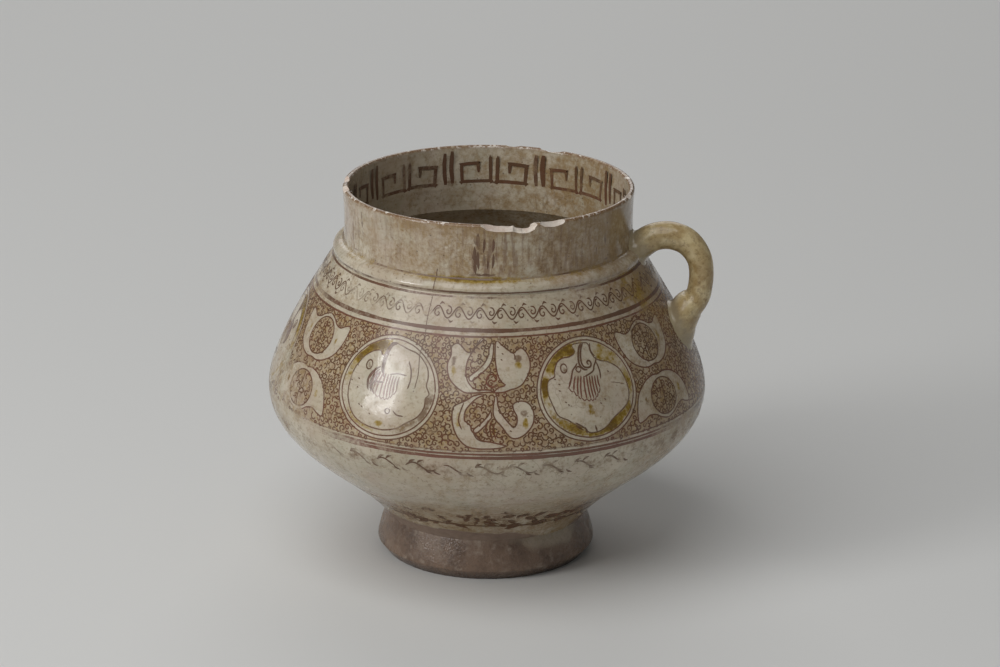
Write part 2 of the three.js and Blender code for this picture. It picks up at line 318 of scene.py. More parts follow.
def wheel_tree():
    """Turns a profile about the jar's axis, as a wheel does, and closes the seam and the poles."""
    sockets = [("Steps Round", "Int"), ("Axis", "Float"), ("Finish", "Material")]
    tree = geometry_tree("turned_on_the_wheel", sockets)
    given = add(tree, "NodeGroupInput").outputs
    size_of = add(tree, "GeometryNodeAttributeDomainSize", {"Geometry": given["Geometry"]})
    across = add(tree, "ShaderNodeMath", {0: given["Steps Round"], 1: 1.0}, operation="ADD")
    feeds = {"Vertices X": size_of.outputs["Point Count"], "Vertices Y": across}
    grid = add(tree, "GeometryNodeMeshGrid", feeds)
    index = add(tree, "GeometryNodeInputIndex")
    share = add(tree, "ShaderNodeMath", {0: index, 1: across}, operation="DIVIDE")
    ring = add(tree, "ShaderNodeMath", {0: share}, operation="FLOOR")
    step = add(tree, "ShaderNodeMath", {0: index, 1: across}, operation="MODULO")
    place = add(tree, "GeometryNodeInputPosition")
    feeds = {"Geometry": given["Geometry"], "Value": place, "Index": ring}
    outline = add(tree, "GeometryNodeSampleIndex", feeds, data_type="FLOAT_VECTOR")
    outline = add(tree, "ShaderNodeSeparateXYZ", {0: outline}).outputs
    turn = add(tree, "ShaderNodeMath", {0: step, 1: given["Steps Round"]}, operation="DIVIDE")
    angle = add(tree, "ShaderNodeMath", {0: turn, 1: math.tau}, operation="MULTIPLY")
    position = place_round(tree, angle, outline["X"], outline["Z"], given["Axis"])
    turned = add(tree, "GeometryNodeSetPosition", {"Geometry": grid, "Position": position})
    closed = add(tree, "GeometryNodeMergeByDistance", {"Geometry": turned, "Distance": 0.001 * MM})
    end_tree(tree, closed, given["Finish"])
    return tree


BRUSH_SOCKETS = [
    ("Outline", "Object"),
    ("Wrap Radius", "Float"),
    ("Axis", "Float"),
    ("Film", "Float"),
    ("Unsteady", "Float"),
    ("Finish", "Material"),
]
# How deep the buried edge of a painted stroke lies
STROKE_ROOT = 0.25


def lay_strokes(tree, given, curves):
    """Sweeps flat curves into thin ribbons, each as wide as its half_width, and wraps them on."""
    place = add(tree, "GeometryNodeInputPosition")
    waver = add(tree, "ShaderNodeTexNoise", {"Vector": place, "Scale": 1 / (5 * MM), "Detail": 2.0})
    feeds = {0: waver.outputs["Color"], 1: (0.5, 0.5, 0.5)}
    shift = add(tree, "ShaderNodeVectorMath", feeds, operation="SUBTRACT")
    shift = add(tree, "ShaderNodeVectorMath", {0: shift, 1: (2, 2, 0)}, operation="MULTIPLY")
    shift = add(tree, "ShaderNodeVectorMath", {0: shift, "Scale": given["Unsteady"]}, operation="SCALE")
    drawn = add(tree, "GeometryNodeSetPosition", {"Geometry": curves, "Offset": shift})
    flat = add(tree, "GeometryNodeSetCurveNormal", {"Curve": drawn}, mode="Z_UP")
    three = add(tree, "GeometryNodeCurvePrimitiveCircle", {"Resolution": 3, "Radius": 2 / math.sqrt(3)})
    section = add(tree, "GeometryNodeTransform", {"Geometry": three, "Rotation": (0, 0, -math.pi / 6)})
    width = add(tree, "GeometryNodeInputNamedAttribute", {"Name": "half_width"}, data_type="FLOAT")
    feeds = {"Curve": flat, "Profile Curve": section, "Scale": width, "Fill Caps": True}
    ribbon = add(tree, "GeometryNodeCurveToMesh", feeds)
    where = add(tree, "ShaderNodeSeparateXYZ", {0: add(tree, "GeometryNodeInputPosition")}).outputs
    shape = add(tree, "GeometryNodeObjectInfo", {"Object": given["Outline"]}).outputs["Geometry"]
    rail = add(tree, "GeometryNodeMeshToCurve", {"Mesh": shape})
    sample = add(tree, "GeometryNodeSampleCurve", {"Curves": rail, "Length": where["Y"]}, mode="LENGTH")
    on_rail = add(tree, "ShaderNodeSeparateXYZ", {0: sample.outputs["Position"]}).outputs
    along = add(tree, "ShaderNodeSeparateXYZ", {0: sample.outputs["Tangent"]}).outputs
    top = add(tree, "ShaderNodeMath", {0: where["Z"], 1: 0.0}, operation="GREATER_THAN")
    reach = add(tree, "ShaderNodeMath", {0: given["Film"], 1: STROKE_ROOT * MM}, operation="ADD")
    feeds = {0: top, 1: reach, 2: -STROKE_ROOT * MM}
    stand = add(tree, "ShaderNodeMath", feeds, operation="MULTIPLY_ADD")
    feeds = {0: stand, 1: along["Z"], 2: on_rail["X"]}
    radius = add(tree, "ShaderNodeMath", feeds, operation="MULTIPLY_ADD")
    drop = add(tree, "ShaderNodeMath", {0: stand, 1: along["X"]}, operation="MULTIPLY")
    height = add(tree, "ShaderNodeMath", {0: on_rail["Z"], 1: drop}, operation="SUBTRACT")
    angle = add(tree, "ShaderNodeMath", {0: where["X"], 1: given["Wrap Radius"]}, operation="DIVIDE")
    position = place_round(tree, angle, radius, height, given["Axis"])
    wrapped = add(tree, "GeometryNodeSetPosition", {"Geometry": ribbon, "Position": position})
    end_tree(tree, wrapped, given["Finish"])


def stroke_tree():
    """Lays strokes that were drawn flat on the jar."""
    tree = geometry_tree("brush_strokes", BRUSH_SOCKETS)
    given = add(tree, "NodeGroupInput").outputs
    curves = add(tree, "GeometryNodeMeshToCurve", {"Mesh": given["Geometry"]})
    lay_strokes(tree, given, curves)
    return tree


def scroll_tree():
    """Scatters curls over the flat ground, small where there is little room, and lays them on."""
    extra = [("Spacing", "Float"), ("Curl Radius", "Float"), ("Curl Line", "Float"), ("Seed", "Int")]
    tree = geometry_tree("ground_scrolls", BRUSH_SOCKETS + extra)
    given = add(tree, "NodeGroupInput").outputs
    feeds = {
        "Mesh": given["Geometry"],
        "Distance Min": given["Spacing"],
        "Density Max": 4e6,
        "Seed": given["Seed"],
    }
    spots = add(tree, "GeometryNodeDistributePointsOnFaces", feeds, distribute_method="POISSON")
    room = add(tree, "GeometryNodeInputNamedAttribute", {"Name": "room"}, data_type="FLOAT")
    share = add(tree, "ShaderNodeMath", {0: room, 1: given["Curl Radius"]}, operation="DIVIDE")
    share = add(tree, "ShaderNodeClamp", {"Value": share, "Min": 0.5, "Max": 1.1})
    feeds = {"Min": 0.82, "Max": 1.18, "Seed": 3}
    uneven = add(tree, "FunctionNodeRandomValue", feeds, data_type="FLOAT")
    scale = add(tree, "ShaderNodeMath", {0: share, 1: uneven}, operation="MULTIPLY")
    feeds = {"Min": 0.0, "Max": math.tau, "Seed": 5}
    turn = add(tree, "FunctionNodeRandomValue", feeds, data_type="FLOAT")
    rotation = add(tree, "ShaderNodeCombineXYZ", {2: turn})
    curls = add(tree, "GeometryNodeJoinGeometry")
    for turns, start, backward in ((1.15, 0.15, False), (0.95, 0.25, True), (0.6, 0.7, False)):
        feeds = {"Resolution": 8, "Rotations": turns, "Start Radius": start, "End Radius": 1.0}
        feeds |= {"Height": 0.0, "Reverse": backward}
        curl = add(tree, "GeometryNodeCurveSpiral", feeds)
        one = add(tree, "GeometryNodeGeometryToInstance", {"Geometry": curl})
        tree.links.new(one.outputs[0], curls.inputs[0])
    pick = add(tree, "FunctionNodeRandomValue", {"Min": 0, "Max": 2, "Seed": 11}, data_type="INT")
    sized = add(tree, "ShaderNodeMath", {0: scale, 1: given["Curl Radius"]}, operation="MULTIPLY")
    feeds = {
        "Points": spots,
        "Instance": curls,
        "Pick Instance": True,
        "Instance Index": pick,
        "Rotation": rotation,
        "Scale": sized,
    }
    placed = add(tree, "GeometryNodeInstanceOnPoints", feeds)
    whole = add(tree, "GeometryNodeRealizeInstances", {"Geometry": placed})
    for name, low, high, seed in (("tone", 0.55, 1.0, 17), ("red", 0.0, 0.4, 19)):
        feeds = {"Min": low, "Max": high, "Seed": seed}
        value = add(tree, "FunctionNodeRandomValue", feeds, data_type="FLOAT")
        feeds = {"Geometry": whole, "Name": name, "Value": value}
        whole = add(tree, "GeometryNodeStoreNamedAttribute", feeds, data_type="FLOAT", domain="CURVE")
    feeds = {"Geometry": whole, "Name": "half_width", "Value": given["Curl Line"]}
    whole = add(tree, "GeometryNodeStoreNamedAttribute", feeds, data_type="FLOAT", domain="POINT")
    lay_strokes(tree, given, whole)
    return tree


def new_object(name, data):
    """An object in the scene that holds the given data."""
    made = bpy.data.objects.new(name, data)
    bpy.context.scene.collection.objects.link(made)
    return made


def make_mesh(name, points, edges=(), faces=()):
    """A mesh object from points in millimetres, with its object at the origin."""
    mesh = bpy.data.meshes.new(name)
    mesh.from_pydata((np.asarray(points, dtype=float) * MM).tolist(), list(edges), list(faces))
    return new_object(name, mesh)


def rail_object(name, line):
    """An outline as a chain of points for the strokes to lie on."""
    edges = [(i, i + 1) for i in range(len(line) - 1)]
    return make_mesh(name, [(r, 0, z) for r, z in line], edges)


def run_tree(name, source, tree, inputs):
    """Runs a tree on an object and keeps the result as a plain mesh piece under the given name."""
    modifier = source.modifiers.new("tree", "NODES")
    modifier.node_group = tree
    items = tree.interface.items_tree
    sockets = {s.name: s.identifier for s in items if s.in_out == "INPUT"}
    for label, value in inputs.items():
        modifier[sockets[label]] = value
    evaluated = source.evaluated_get(bpy.context.evaluated_depsgraph_get())
    mesh = bpy.data.meshes.new_from_object(evaluated)
    if not mesh.polygons:
        raise RuntimeError(f"{name}: the tree made no faces")
    source.modifiers.remove(modifier)
    mesh.name = name
    return new_object(name, mesh)


def turned_piece(name, profile, material):
    """Turns a closed profile, which goes up the outside and down the inside."""
    sizes = bpy.context.scene.jar_sizes
    source = rail_object(name + "_profile", profile)
    inputs = {"Steps Round": sizes.steps_round, "Axis": AXIS_X * MM, "Finish": material}
    piece = run_tree(name, source, wheel_tree(), inputs)
    bpy.data.objects.remove(source)
    return piece


def coordinates(piece):
    """A piece's points in millimetres about the turning axis."""
    flat = np.empty(len(piece.data.vertices) * 3)
    piece.data.vertices.foreach_get("co", flat)
    return flat.reshape(-1, 3) / MM - (AXIS_X, 0, 0)


def move_points(piece, points):
    piece.data.vertices.foreach_set("co", ((points + (AXIS_X, 0, 0)) * MM).ravel())
    piece.data.update()


def round_the_jar(points):
    """The angle of points round the turning axis, and their distance from it."""
    return np.arctan2(points[:, 1], points[:, 0]), np.hypot(points[:, 0], points[:, 1])


def mark(piece, name, values):
    """Keeps a number for each point of a piece, which its material reads."""
    layer = piece.data.attributes.new(name, "FLOAT", "POINT")
    layer.data.foreach_set("value", np.ascontiguousarray(values, dtype=np.float32))


def finish_piece(piece, slot, *nodes):
    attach(piece, "root")
    if nodes:
        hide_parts(*nodes)


def rings_between(low, high, step):
    """Slant lengths from low to high, with a short first and last step so that light runs on."""
    count = max(2, round((high - low) / step))
    inner = np.linspace(low, high, count + 1)[1:-1]
    return np.concatenate([[low, low + 0.05], inner, [high - 0.05, high]])


# The painted frieze, laid out flat: x is the distance round at the wrap radius, y the slant length
WRAP_RADIUS = 76.0
FRIEZE_LOW = 68.6
FRIEZE_HIGH = 109.0
FRIEZE_MIDDLE = 88.2
CELL_HALF_WIDTH = 23

# Motifs are drawn about the middle of their cell. Shapes are closed outlines that keep the ground
# off, openings let it back in, and a line is its half width, its redness and its points.
# Spots are ellipses: middle, half sizes, then how olive and how brown they are.
WADING_BIRD = {
    "rings": [(20.4, 18.7), (19, 17.3)],
    "body": [
        (-3.3, 16.1), (-2.8, 13.5), (-5.2, 12.2), (-8.9, 11.8), (-11.3, 10.4), (-12.7, 7.7),
        (-13.05, 5.6), (-15.3, 4.7), (-16.2, 2.7), (-16.2, -0.5), (-15.3, -3.7), (-13.6, -8),
        (-10.3, -10.05), (-7.05, -12.3), (-4.2, -13.7), (-3.05, -15.3), (0.2, -15.7), (3.7, -14.6),
        (7.5, -11.9), (11.7, -9.8), (15, -7.3), (16.4, -3.7), (16.2, 0.85), (14.5, 4.9), (10.8, 7.7),
        (7.5, 8.8), (5.15, 10.2), (4.1, 12.7), (4, 14.7), (2.8, 16.1), (-3.3, 16.1),
    ],
    "feathers": 0.95,
    "blotches": [
        (0, 0.7, 0.1), (10, 0.75, 0), (20, 0.45, 0.2), (45, 0.6, 0), (60, 0.65, 0), (75, 0.1, 0),
        (100, 0.7, 0.1), (108, 1, 0.1), (148, 1, 0), (156, 0.3, 0), (165, 1, 0), (178, 0.95, 0),
        (188, 0.4, 0.3), (215, 0.45, 0.55), (240, 0.6, 0.6), (258, 0.8, 0.3), (275, 0.8, 0.2),
        (290, 1, 0.4), (302, 0.8, 0.4), (330, 0.45, 0.45), (350, 0.6, 0.3), (360, 0.7, 0.1),
    ],
    "lines": [
        (0.42, 0.1, [
            (0.9, 16.2), (-0.7, 14.5), (-1.7, 11.8), (-2.1, 9.5), (-1.6, 7.9), (-0.5, 6.8), (0.9, 6.5),
        ]),
        (0.36, 0.1, [
            (1.6, 16.2), (0.2, 14.3), (-0.7, 11.8), (-1, 9.5), (-0.4, 7.9), (0.9, 7.3), (2.3, 7.4),
            (3, 8.35), (2.7, 9.4), (1.9, 9.7), (1.3, 9.1), (1.5, 8.4), (2, 8.3),
        ]),
        (0.42, 0, [(4.7, 15.6), (4.2, 14), (4.35, 12.2), (5.4, 10.85)]),
        (0.3, 0.2, [(-2.8, 9.5), (-4, 8.3), (-5.2, 7.2), (-6.1, 5.4), (-7.3, 2.7), (-8.3, 1)]),
        (0.26, 0.2, [(-1.8, 7.2), (-2.9, 8.3), (-4, 7.2), (-2.9, 6.1), (-1.8, 7.2)]),
        (0.3, 0.3, [(6, 10.6), (5.2, 8.9), (4.1, 7.6), (3.2, 5.9), (0.9, 4.9), (-1.2, 4.3)]),
        (0.3, 0.2, [(5.3, 8.8), (5.8, 6.5), (5.9, 4.6), (5.5, 2.5)]),
        (0.36, 0, [(-4.1, -13.3), (-3.9, -14.5), (-3.7, -15.6)]),
        (0.36, 0, [(-0.3, -13.3), (0, -14.5), (0.2, -15.7)]),
        (0.26, 0, [(-7.6, -11.3), (-5.9, -12.4), (-4.2, -13.7)]),
        (0.26, 0, [(-7.5, -12.6), (-6.2, -13.4), (-4.9, -14.4)]),
        (0.1, 0, [(9.4, 0.6), (12.2, -0.05), (15.4, -1.4)]),
    ],
    "eye": (-8.8, 8.2, 1.3, 1.65),
    "dots": [
        (-13, 4.7), (-11.6, 2.7), (-11.9, 0.4), (-10.1, -3.8), (-9.1, -4.9), (3.4, -6), (5.4, -4.9),
        (9.5, 4.5),
    ],
    "spots": [(-0.7, -7.8, 1.3, 2.2, 0.45, 0.5), (-8.7, 7.7, 1, 1, 0.2, 0.6)],
}
FEATHER_TOPS = [(-5.9, 5.2), (4.4, 4)]
FEATHER_FEET = [
    (-8.1, 1.1), (-6.4, -0.1), (-5.1, -1.9), (-3.9, -2.9), (-1.9, -3.6), (-0.3, -3.8), (0.9, -3.9),
    (2, -3.2), (3.1, -2), (4.3, -0.5),
]
RESTING_BIRD = {
    "rings": [(20.4, 18.7), (19, 17.3)],
    "body": [
        (-1.2, 15.8), (-3.2, 11.9), (-4.6, 10.7), (-6.3, 12.2), (-9.2, 11.6), (-12, 9.6), (-14, 7),
        (-15.6, 3.4), (-15.9, -1), (-15.2, -5.6), (-13.4, -9.2), (-11.4, -11.6), (-8.6, -13.6),
        (-4, -14.9), (1.5, -15.2), (6.3, -14), (10, -11.4), (13.4, -9.2), (15.6, -5.6), (15.7, -2.2),
        (16.9, -0.6), (15.4, 2.2), (15.7, 5), (14.8, 8.6), (12.2, 11.7), (9.4, 13.4), (5.4, 14.5),
        (1.9, 15.4), (-1.2, 15.8),
    ],
    "feathers": 0.66,
    "blotches": [
        (0, 0.1, 0.25), (40, 0, 0.2), (90, 0.2, 0.1), (98, 0.8, 0.6), (108, 1, 0.5), (120, 1, 0.15),
        (150, 1, 0), (160, 0.6, 0), (182, 0.35, 0.1), (200, 0.2, 0.2), (225, 0.5, 0.15),
        (250, 0.6, 0.15), (270, 0.35, 0.1), (285, 0.1, 0.2), (300, 0.2, 0.5), (320, 0.1, 0.5),
        (332, 0, 0.75), (350, 0, 0.7), (360, 0.1, 0.25),
    ],
    "lines": [
        (0.42, 0, [(0.6, 16), (-1.9, 14.5), (-2.9, 10.4), (-3.1, 8.1), (-2.9, 5.9), (-1.9, 3.1)]),
        (0.3, 0, [(-0.6, 16), (-2.3, 15.3), (-3.7, 12), (-3.8, 7), (-2.9, 4.5)]),
        (0.42, 0, [(-4.3, 6.6), (-6.1, 5.4), (-7.5, 3.6), (-8.25, 1.3), (-7.6, -1.4), (-6.9, -2.4)]),
        (0.36, 0, [(-4.3, 5.6), (-5.6, 4.4), (-6.5, 2.5), (-6.9, 0.2), (-5.9, -2.8)]),
        (0.3, 0, [(-4, 4.9), (-5, 3.1), (-5.3, 1.2), (-6, -0.8), (-5, -3)]),
        (0.36, 0, [(-5.3, 1.2), (-4.3, 1.1), (-1.4, 1.3)]),
        (0.26, 0, [(0.4, 4.5), (2.4, 5), (4.6, 5.2), (7.2, 4.9)]),
        (0.26, 0, [(7, 10.2), (8.6, 7), (9, 3.4), (8.5, 0.4)]),
        (0.26, 0, [(4.3, -8), (6, -9.2), (8.4, -9.4)]),
        (0.26, 0, [(2.2, -7.4), (3.2, -8.4), (2.2, -9.4), (1.3, -8.4), (2.2, -7.4)]),
    ],
    "eye": (-9.4, 6.5, 1.3, 1.7),
    "dots": [(-12.2, 0.85), (-11.8, -2.3), (-15.2, -0.3), (-9.4, -8), (-4.5, -10.5), (-8.2, -8.6)],
    "spots": [(-0.5, -13.2, 1.7, 1, 0.8, 0), (-9.4, 6.3, 1, 1.2, 0.1, 0.8), (6, 8, 3.5, 3, 0, 0.16)],
}
CRESCENT_LEAVES = {
    "shapes": [
        [
            (-3.1, 20.2), (-5.6, 16.8), (-7.1, 15.4), (-8.9, 15.6), (-10.8, 17.4), (-12.5, 18.4),
            (-13.9, 18.1), (-15, 16.8), (-14.8, 14), (-15.8, 11.3), (-15.7, 8.6), (-14.6, 5.85),
            (-12.7, 3.6), (-10.3, 1.8), (-8, 0.95), (-4.7, 0.95), (-1.4, 1.2), (1.8, 1.3), (1.8, 1.3),
            (0.4, 2), (-4.5, 2.2), (-6.8, 3.8), (-8.2, 6.3), (-8.6, 9.5), (-8, 12.7), (-6.35, 15.6),
            (-4.7, 17.7), (-1.9, 20.2), (-1.9, 20.2), (-3.1, 20.2),
        ],
        [
            (1.15, 18.6), (0.2, 17), (0, 14.9), (-1.4, 11.8), (-4.2, 9), (-7.2, 6.5), (-6.3, 5),
            (-3.3, 7.4), (0, 10.4), (1.6, 13.6), (2, 18.2), (2, 18.2), (1.15, 18.6),
        ],
        [
            (3.7, 19.5), (5.6, 17.9), (8, 16.1), (10, 15), (11.2, 15.9), (13.1, 16.8), (15.2, 14.9),
            (16.2, 12.2), (16, 9.5), (14.5, 6.3), (12.2, 3.6), (9.8, 2.4), (8.4, 2.2), (5.6, 1.3),
            (1.8, 1.1), (1.8, 1.1), (3.7, 2.9), (6.3, 3.7), (5.2, 4.6), (3.7, 6.8), (3, 9.5),
            (2.6, 13.1), (2.6, 16.8), (2.9, 18.8), (3.7, 19.5),
        ],
        [
            (-1.9, 0.6), (-5.2, -0.05), (-8, -1.9), (-10.8, -3.2), (-12.4, -4.6), (-12.5, -8.2),
            (-11.7, -11.9), (-10.3, -14.6), (-8.2, -17.1), (-5.6, -18.4), (-1, -18.7), (4, -18.3),
            (6.1, -17.6), (6.1, -17.6), (1.9, -16.4), (-1.9, -15.7), (-4.2, -13.7), (-5.6, -12.3),
            (-6.1, -10.5), (-7.6, -9.3), (-8.2, -8.7), (-8, -5.5), (-6.1, -2.8), (-3.8, -0.7),
            (-1.5, 0.3), (-1.9, 0.6),
        ],
        [
            (0.9, -5.3), (-0.2, -7.2), (-2.4, -9.6), (-5, -12), (-4, -13.1), (-1, -10.4), (1.2, -7.6),
            (1.2, -7.6), (0.9, -5.3),
        ],
        [
            (2.3, -0.5), (3, -0.3), (3.2, -2.2), (3.9, -4.9), (5.7, -7.9), (8.2, -10.8), (9.6, -10.2),
            (9.9, -7.4), (8.9, -5.2), (8.7, -3.2), (10.6, -2.1), (13.1, -2.3), (15.2, -4.1),
            (15.9, -7.3), (15.2, -10.5), (13.1, -13.2), (10.8, -14.8), (8.4, -15.1), (6.5, -13.7),
            (4.7, -11), (2.5, -8.3), (1.7, -5.5), (2.3, -0.5),
        ],
    ],
    "lines": [
        (0.24, 0.3, [(10, 15), (10.4, 13.8), (10.2, 12.6)]),
        (0.3, 0.8, [
            (3.4, 3.6), (1.2, 3.1), (-0.4, 4.1), (-0.7, 6), (0.4, 7.4), (2.2, 7.5), (3.1, 6.4),
            (2.6, 5.3), (1.6, 5.2), (1.2, 5.9),
        ]),
        (0.24, 0.3, [(-8.6, -2.6), (-9.8, -6), (-10.2, -9), (-9, -12)]),
        (0.3, 0.6, [(0, -8.5), (-0.8, -11.5), (0.2, -14.6)]),
        (0.3, 0.6, [(1.2, -8.7), (0.6, -11.5), (1.4, -15)]),
        (0.3, 0.6, [(2.2, -9.6), (1.7, -12), (2.6, -15.2)]),
        (0.24, 0, [(-5, -13.2), (-3.6, -15.2), (-1.2, -16.2)]),
        (0.24, 0, [(-3.2, -12.8), (-2.2, -14.2), (-0.4, -15)]),
    ],
    "dots": [(3.8, 17.3), (5.6, 14.9), (5.1, 12.7), (-0.1, -1.9), (7.6, -12.5)],
    "spots": [
        (-13.5, 12, 1.1, 1.8, 0.1, 0.75), (-13.3, 8.6, 1, 1.6, 0.8, 0.1), (11.5, 13, 1.7, 1.6, 0.1, 0.8),
        (11.4, 10.6, 1.6, 1.5, 0.8, 0.35), (7.5, 9.5, 1, 1.5, 0.4, 0.4), (12.6, -6.4, 1.6, 1.3, 0, 0.8),
        (12.9, -10, 1.1, 2, 0.75, 0), (-10.3, -8.6, 1, 3.2, 0.55, 0), (1.8, -12.5, 0.8, 1.6, 0.6, 0.3),
        (5, 10.4, 0.7, 2.6, 0, 0.35),
    ],
}
LEAF_SIDE = [
    (0, 19), (4.3, 17.7), (6.6, 16.3), (9.9, 15.6), (12.7, 16.8), (15.55, 17), (15.2, 12), (12.8, 6.5),
    (8.2, 2.9), (3.5, 1.6), (0, 1.9),
]


def leaf_shape(height, turn_over):
    """A round leaf with horned shoulders, from one drawn side."""
    side = [(u, (v - 1) * height * turn_over + turn_over) for u, v in LEAF_SIDE]
    return side + [(-u, v) for u, v in side[-2::-1]]


def ring_points(u, v, half_u, half_v, count=16):
    turns = np.linspace(0, math.tau, count + 1)
    return [(u + half_u * math.cos(t), v + half_v * math.sin(t)) for t in turns]


ROUND_LEAVES = {
    "shapes": [leaf_shape(1, 1), leaf_shape(0.94, -1)],
    "openings": [ring_points(0, 10.4, 7.6, 7), ring_points(0, -9.9, 7.2, 6.6)],
    "lines": [
        (0.26, 0.2, ring_points(0, 10.4, 7.6, 7, 24)),
        (0.26, 0.2, ring_points(0, -9.9, 7.2, 6.6, 24)),
        (0.24, 0.2, [(0, 17.2), (0.3, 12), (-0.2, 7), (0, 3.6)]),
        (0.24, 0.2, [(0, -16.4), (-0.3, -11.6), (0.2, -7), (0, -3.4)]),
        (0.26, 0.4, [(-6, 20), (-3, 19.2), (0, 20.4), (3, 19.2), (6, 20)]),
    ],
    "spots": [
        (10, 10.4, 0.9, 2, 0.5, 0.5), (-10, 10.4, 0.9, 2, 0.5, 0.4), (10, -9.6, 0.9, 1.8, 0.6, 0.3),
        (-10, -9.6, 0.9, 1.8, 0.3, 0.6), (0, 18, 0.8, 0.6, 0, 0.6),
    ],
}
# Motif, its place round the jar in degrees, and 1 or -1 to mirror it
CELLS = [
    (ROUND_LEAVES, -141, 1),
    (RESTING_BIRD, -110.5, 1),
    (CRESCENT_LEAVES, -81.6, 1),
    (WADING_BIRD, -52.9, 1),
    (ROUND_LEAVES, -27.6, 1),
    (WADING_BIRD, 27.6, -1),
    (CRESCENT_LEAVES, 54.9, -1),
    (RESTING_BIRD, 82.3, -1),
    (ROUND_LEAVES, 109.6, 1),
    (WADING_BIRD, 137, 1),
    (CRESCENT_LEAVES, 164.3, 1),
    (RESTING_BIRD, 191.7, -1),
]


def lay_on(name, source, tree, outline, material, wrap_radius=WRAP_RADIUS, extra=None):
    """Runs a brush tree on what was drawn flat, and finishes the painted piece that it gives."""
    brush = bpy.context.scene.brush_sizes
    rail = rail_object(name + "_rail", outline)
    inputs = {"Outline": rail, "Wrap Radius": wrap_radius * MM, "Axis": AXIS_X * MM}
    inputs |= {"Film": brush.film, "Unsteady": brush.unsteady, "Finish": material}
    piece = run_tree(name, source, tree, inputs | (extra or {}))
    bpy.data.objects.remove(source)
    bpy.data.objects.remove(rail)
    weather(piece)
    finish_piece(piece, "body_glaze")


# The points of a line once round the jar
BAND_ANGLES = np.linspace(-math.pi, math.pi, 521)


class Drawing:
    """Strokes drawn flat, which a tree lays on the jar."""

    def __init__(self):
        self.points = []
        self.edges = []
        self.values = {"half_width": [], "tone": [], "red": []}

    def add_line(self, line, half_widths, tones, red):
        """Adds a chain of points, with a half width and a tone for each."""
        first = len(self.points)
        self.points += [(x, y, 0) for x, y in line]
        self.edges += [(first + i, first + i + 1) for i in range(len(line) - 1)]
        self.values["half_width"] += list(half_widths * MM)
        self.values["tone"] += list(tones)
        self.values["red"] += [red] * len(line)

    def stroke(self, knots, half_width, tone=0.9, red=0.0, blunt=0.35):
        """Adds one smooth stroke that thins towards its ends."""
        line = spline(knots, 10)
        length = run_lengths(line)[-1]
        steps = np.linspace(0, length, max(2, math.ceil(length / 0.7)) + 1)
        line = at_length(line, steps)
        to_end = np.minimum(steps, length - steps)
        width = half_width * (blunt + (1 - blunt) * np.clip(to_end / (3 * half_width), 0, 1))
        self.add_line(line, width, [tone] * len(line), red)

    def band(self, slant, half_width, tone, seed, red=0.0, drift=0.25, radius=WRAP_RADIUS):
        """Adds a line once round the jar. Its tone is given at each of the band angles."""
        y = slant + drift * wobble(BAND_ANGLES, seed, (1, 2, 5, 9))
        width = half_width * (1 + 0.25 * wobble(BAND_ANGLES, seed + 1, (7, 15, 31, 53, 90)))
        self.add_line(np.column_stack([BAND_ANGLES * radius, y]), width, np.clip(tone, 0, 1), red)

    def lay(self, name, outline, material, wrap_radius=WRAP_RADIUS):
        """Makes the drawing a painted piece on the jar."""
        source = make_mesh(name + "_flat", self.points, self.edges)
        for label, values in self.values.items():
            mark(source, label, values)
        lay_on(name, source, stroke_tree(), outline, material, wrap_radius)


def inside(polygon, u, v):
    """Which points of a field lie inside a closed polygon."""
    hit = np.zeros(u.shape, dtype=bool)
    for (a, b), (c, d) in zip(polygon[:-1], polygon[1:]):
        if b != d:
            hit ^= ((b > v) != (d > v)) & (u < (c - a) * (v - b) / (d - b) + a)
    return hit


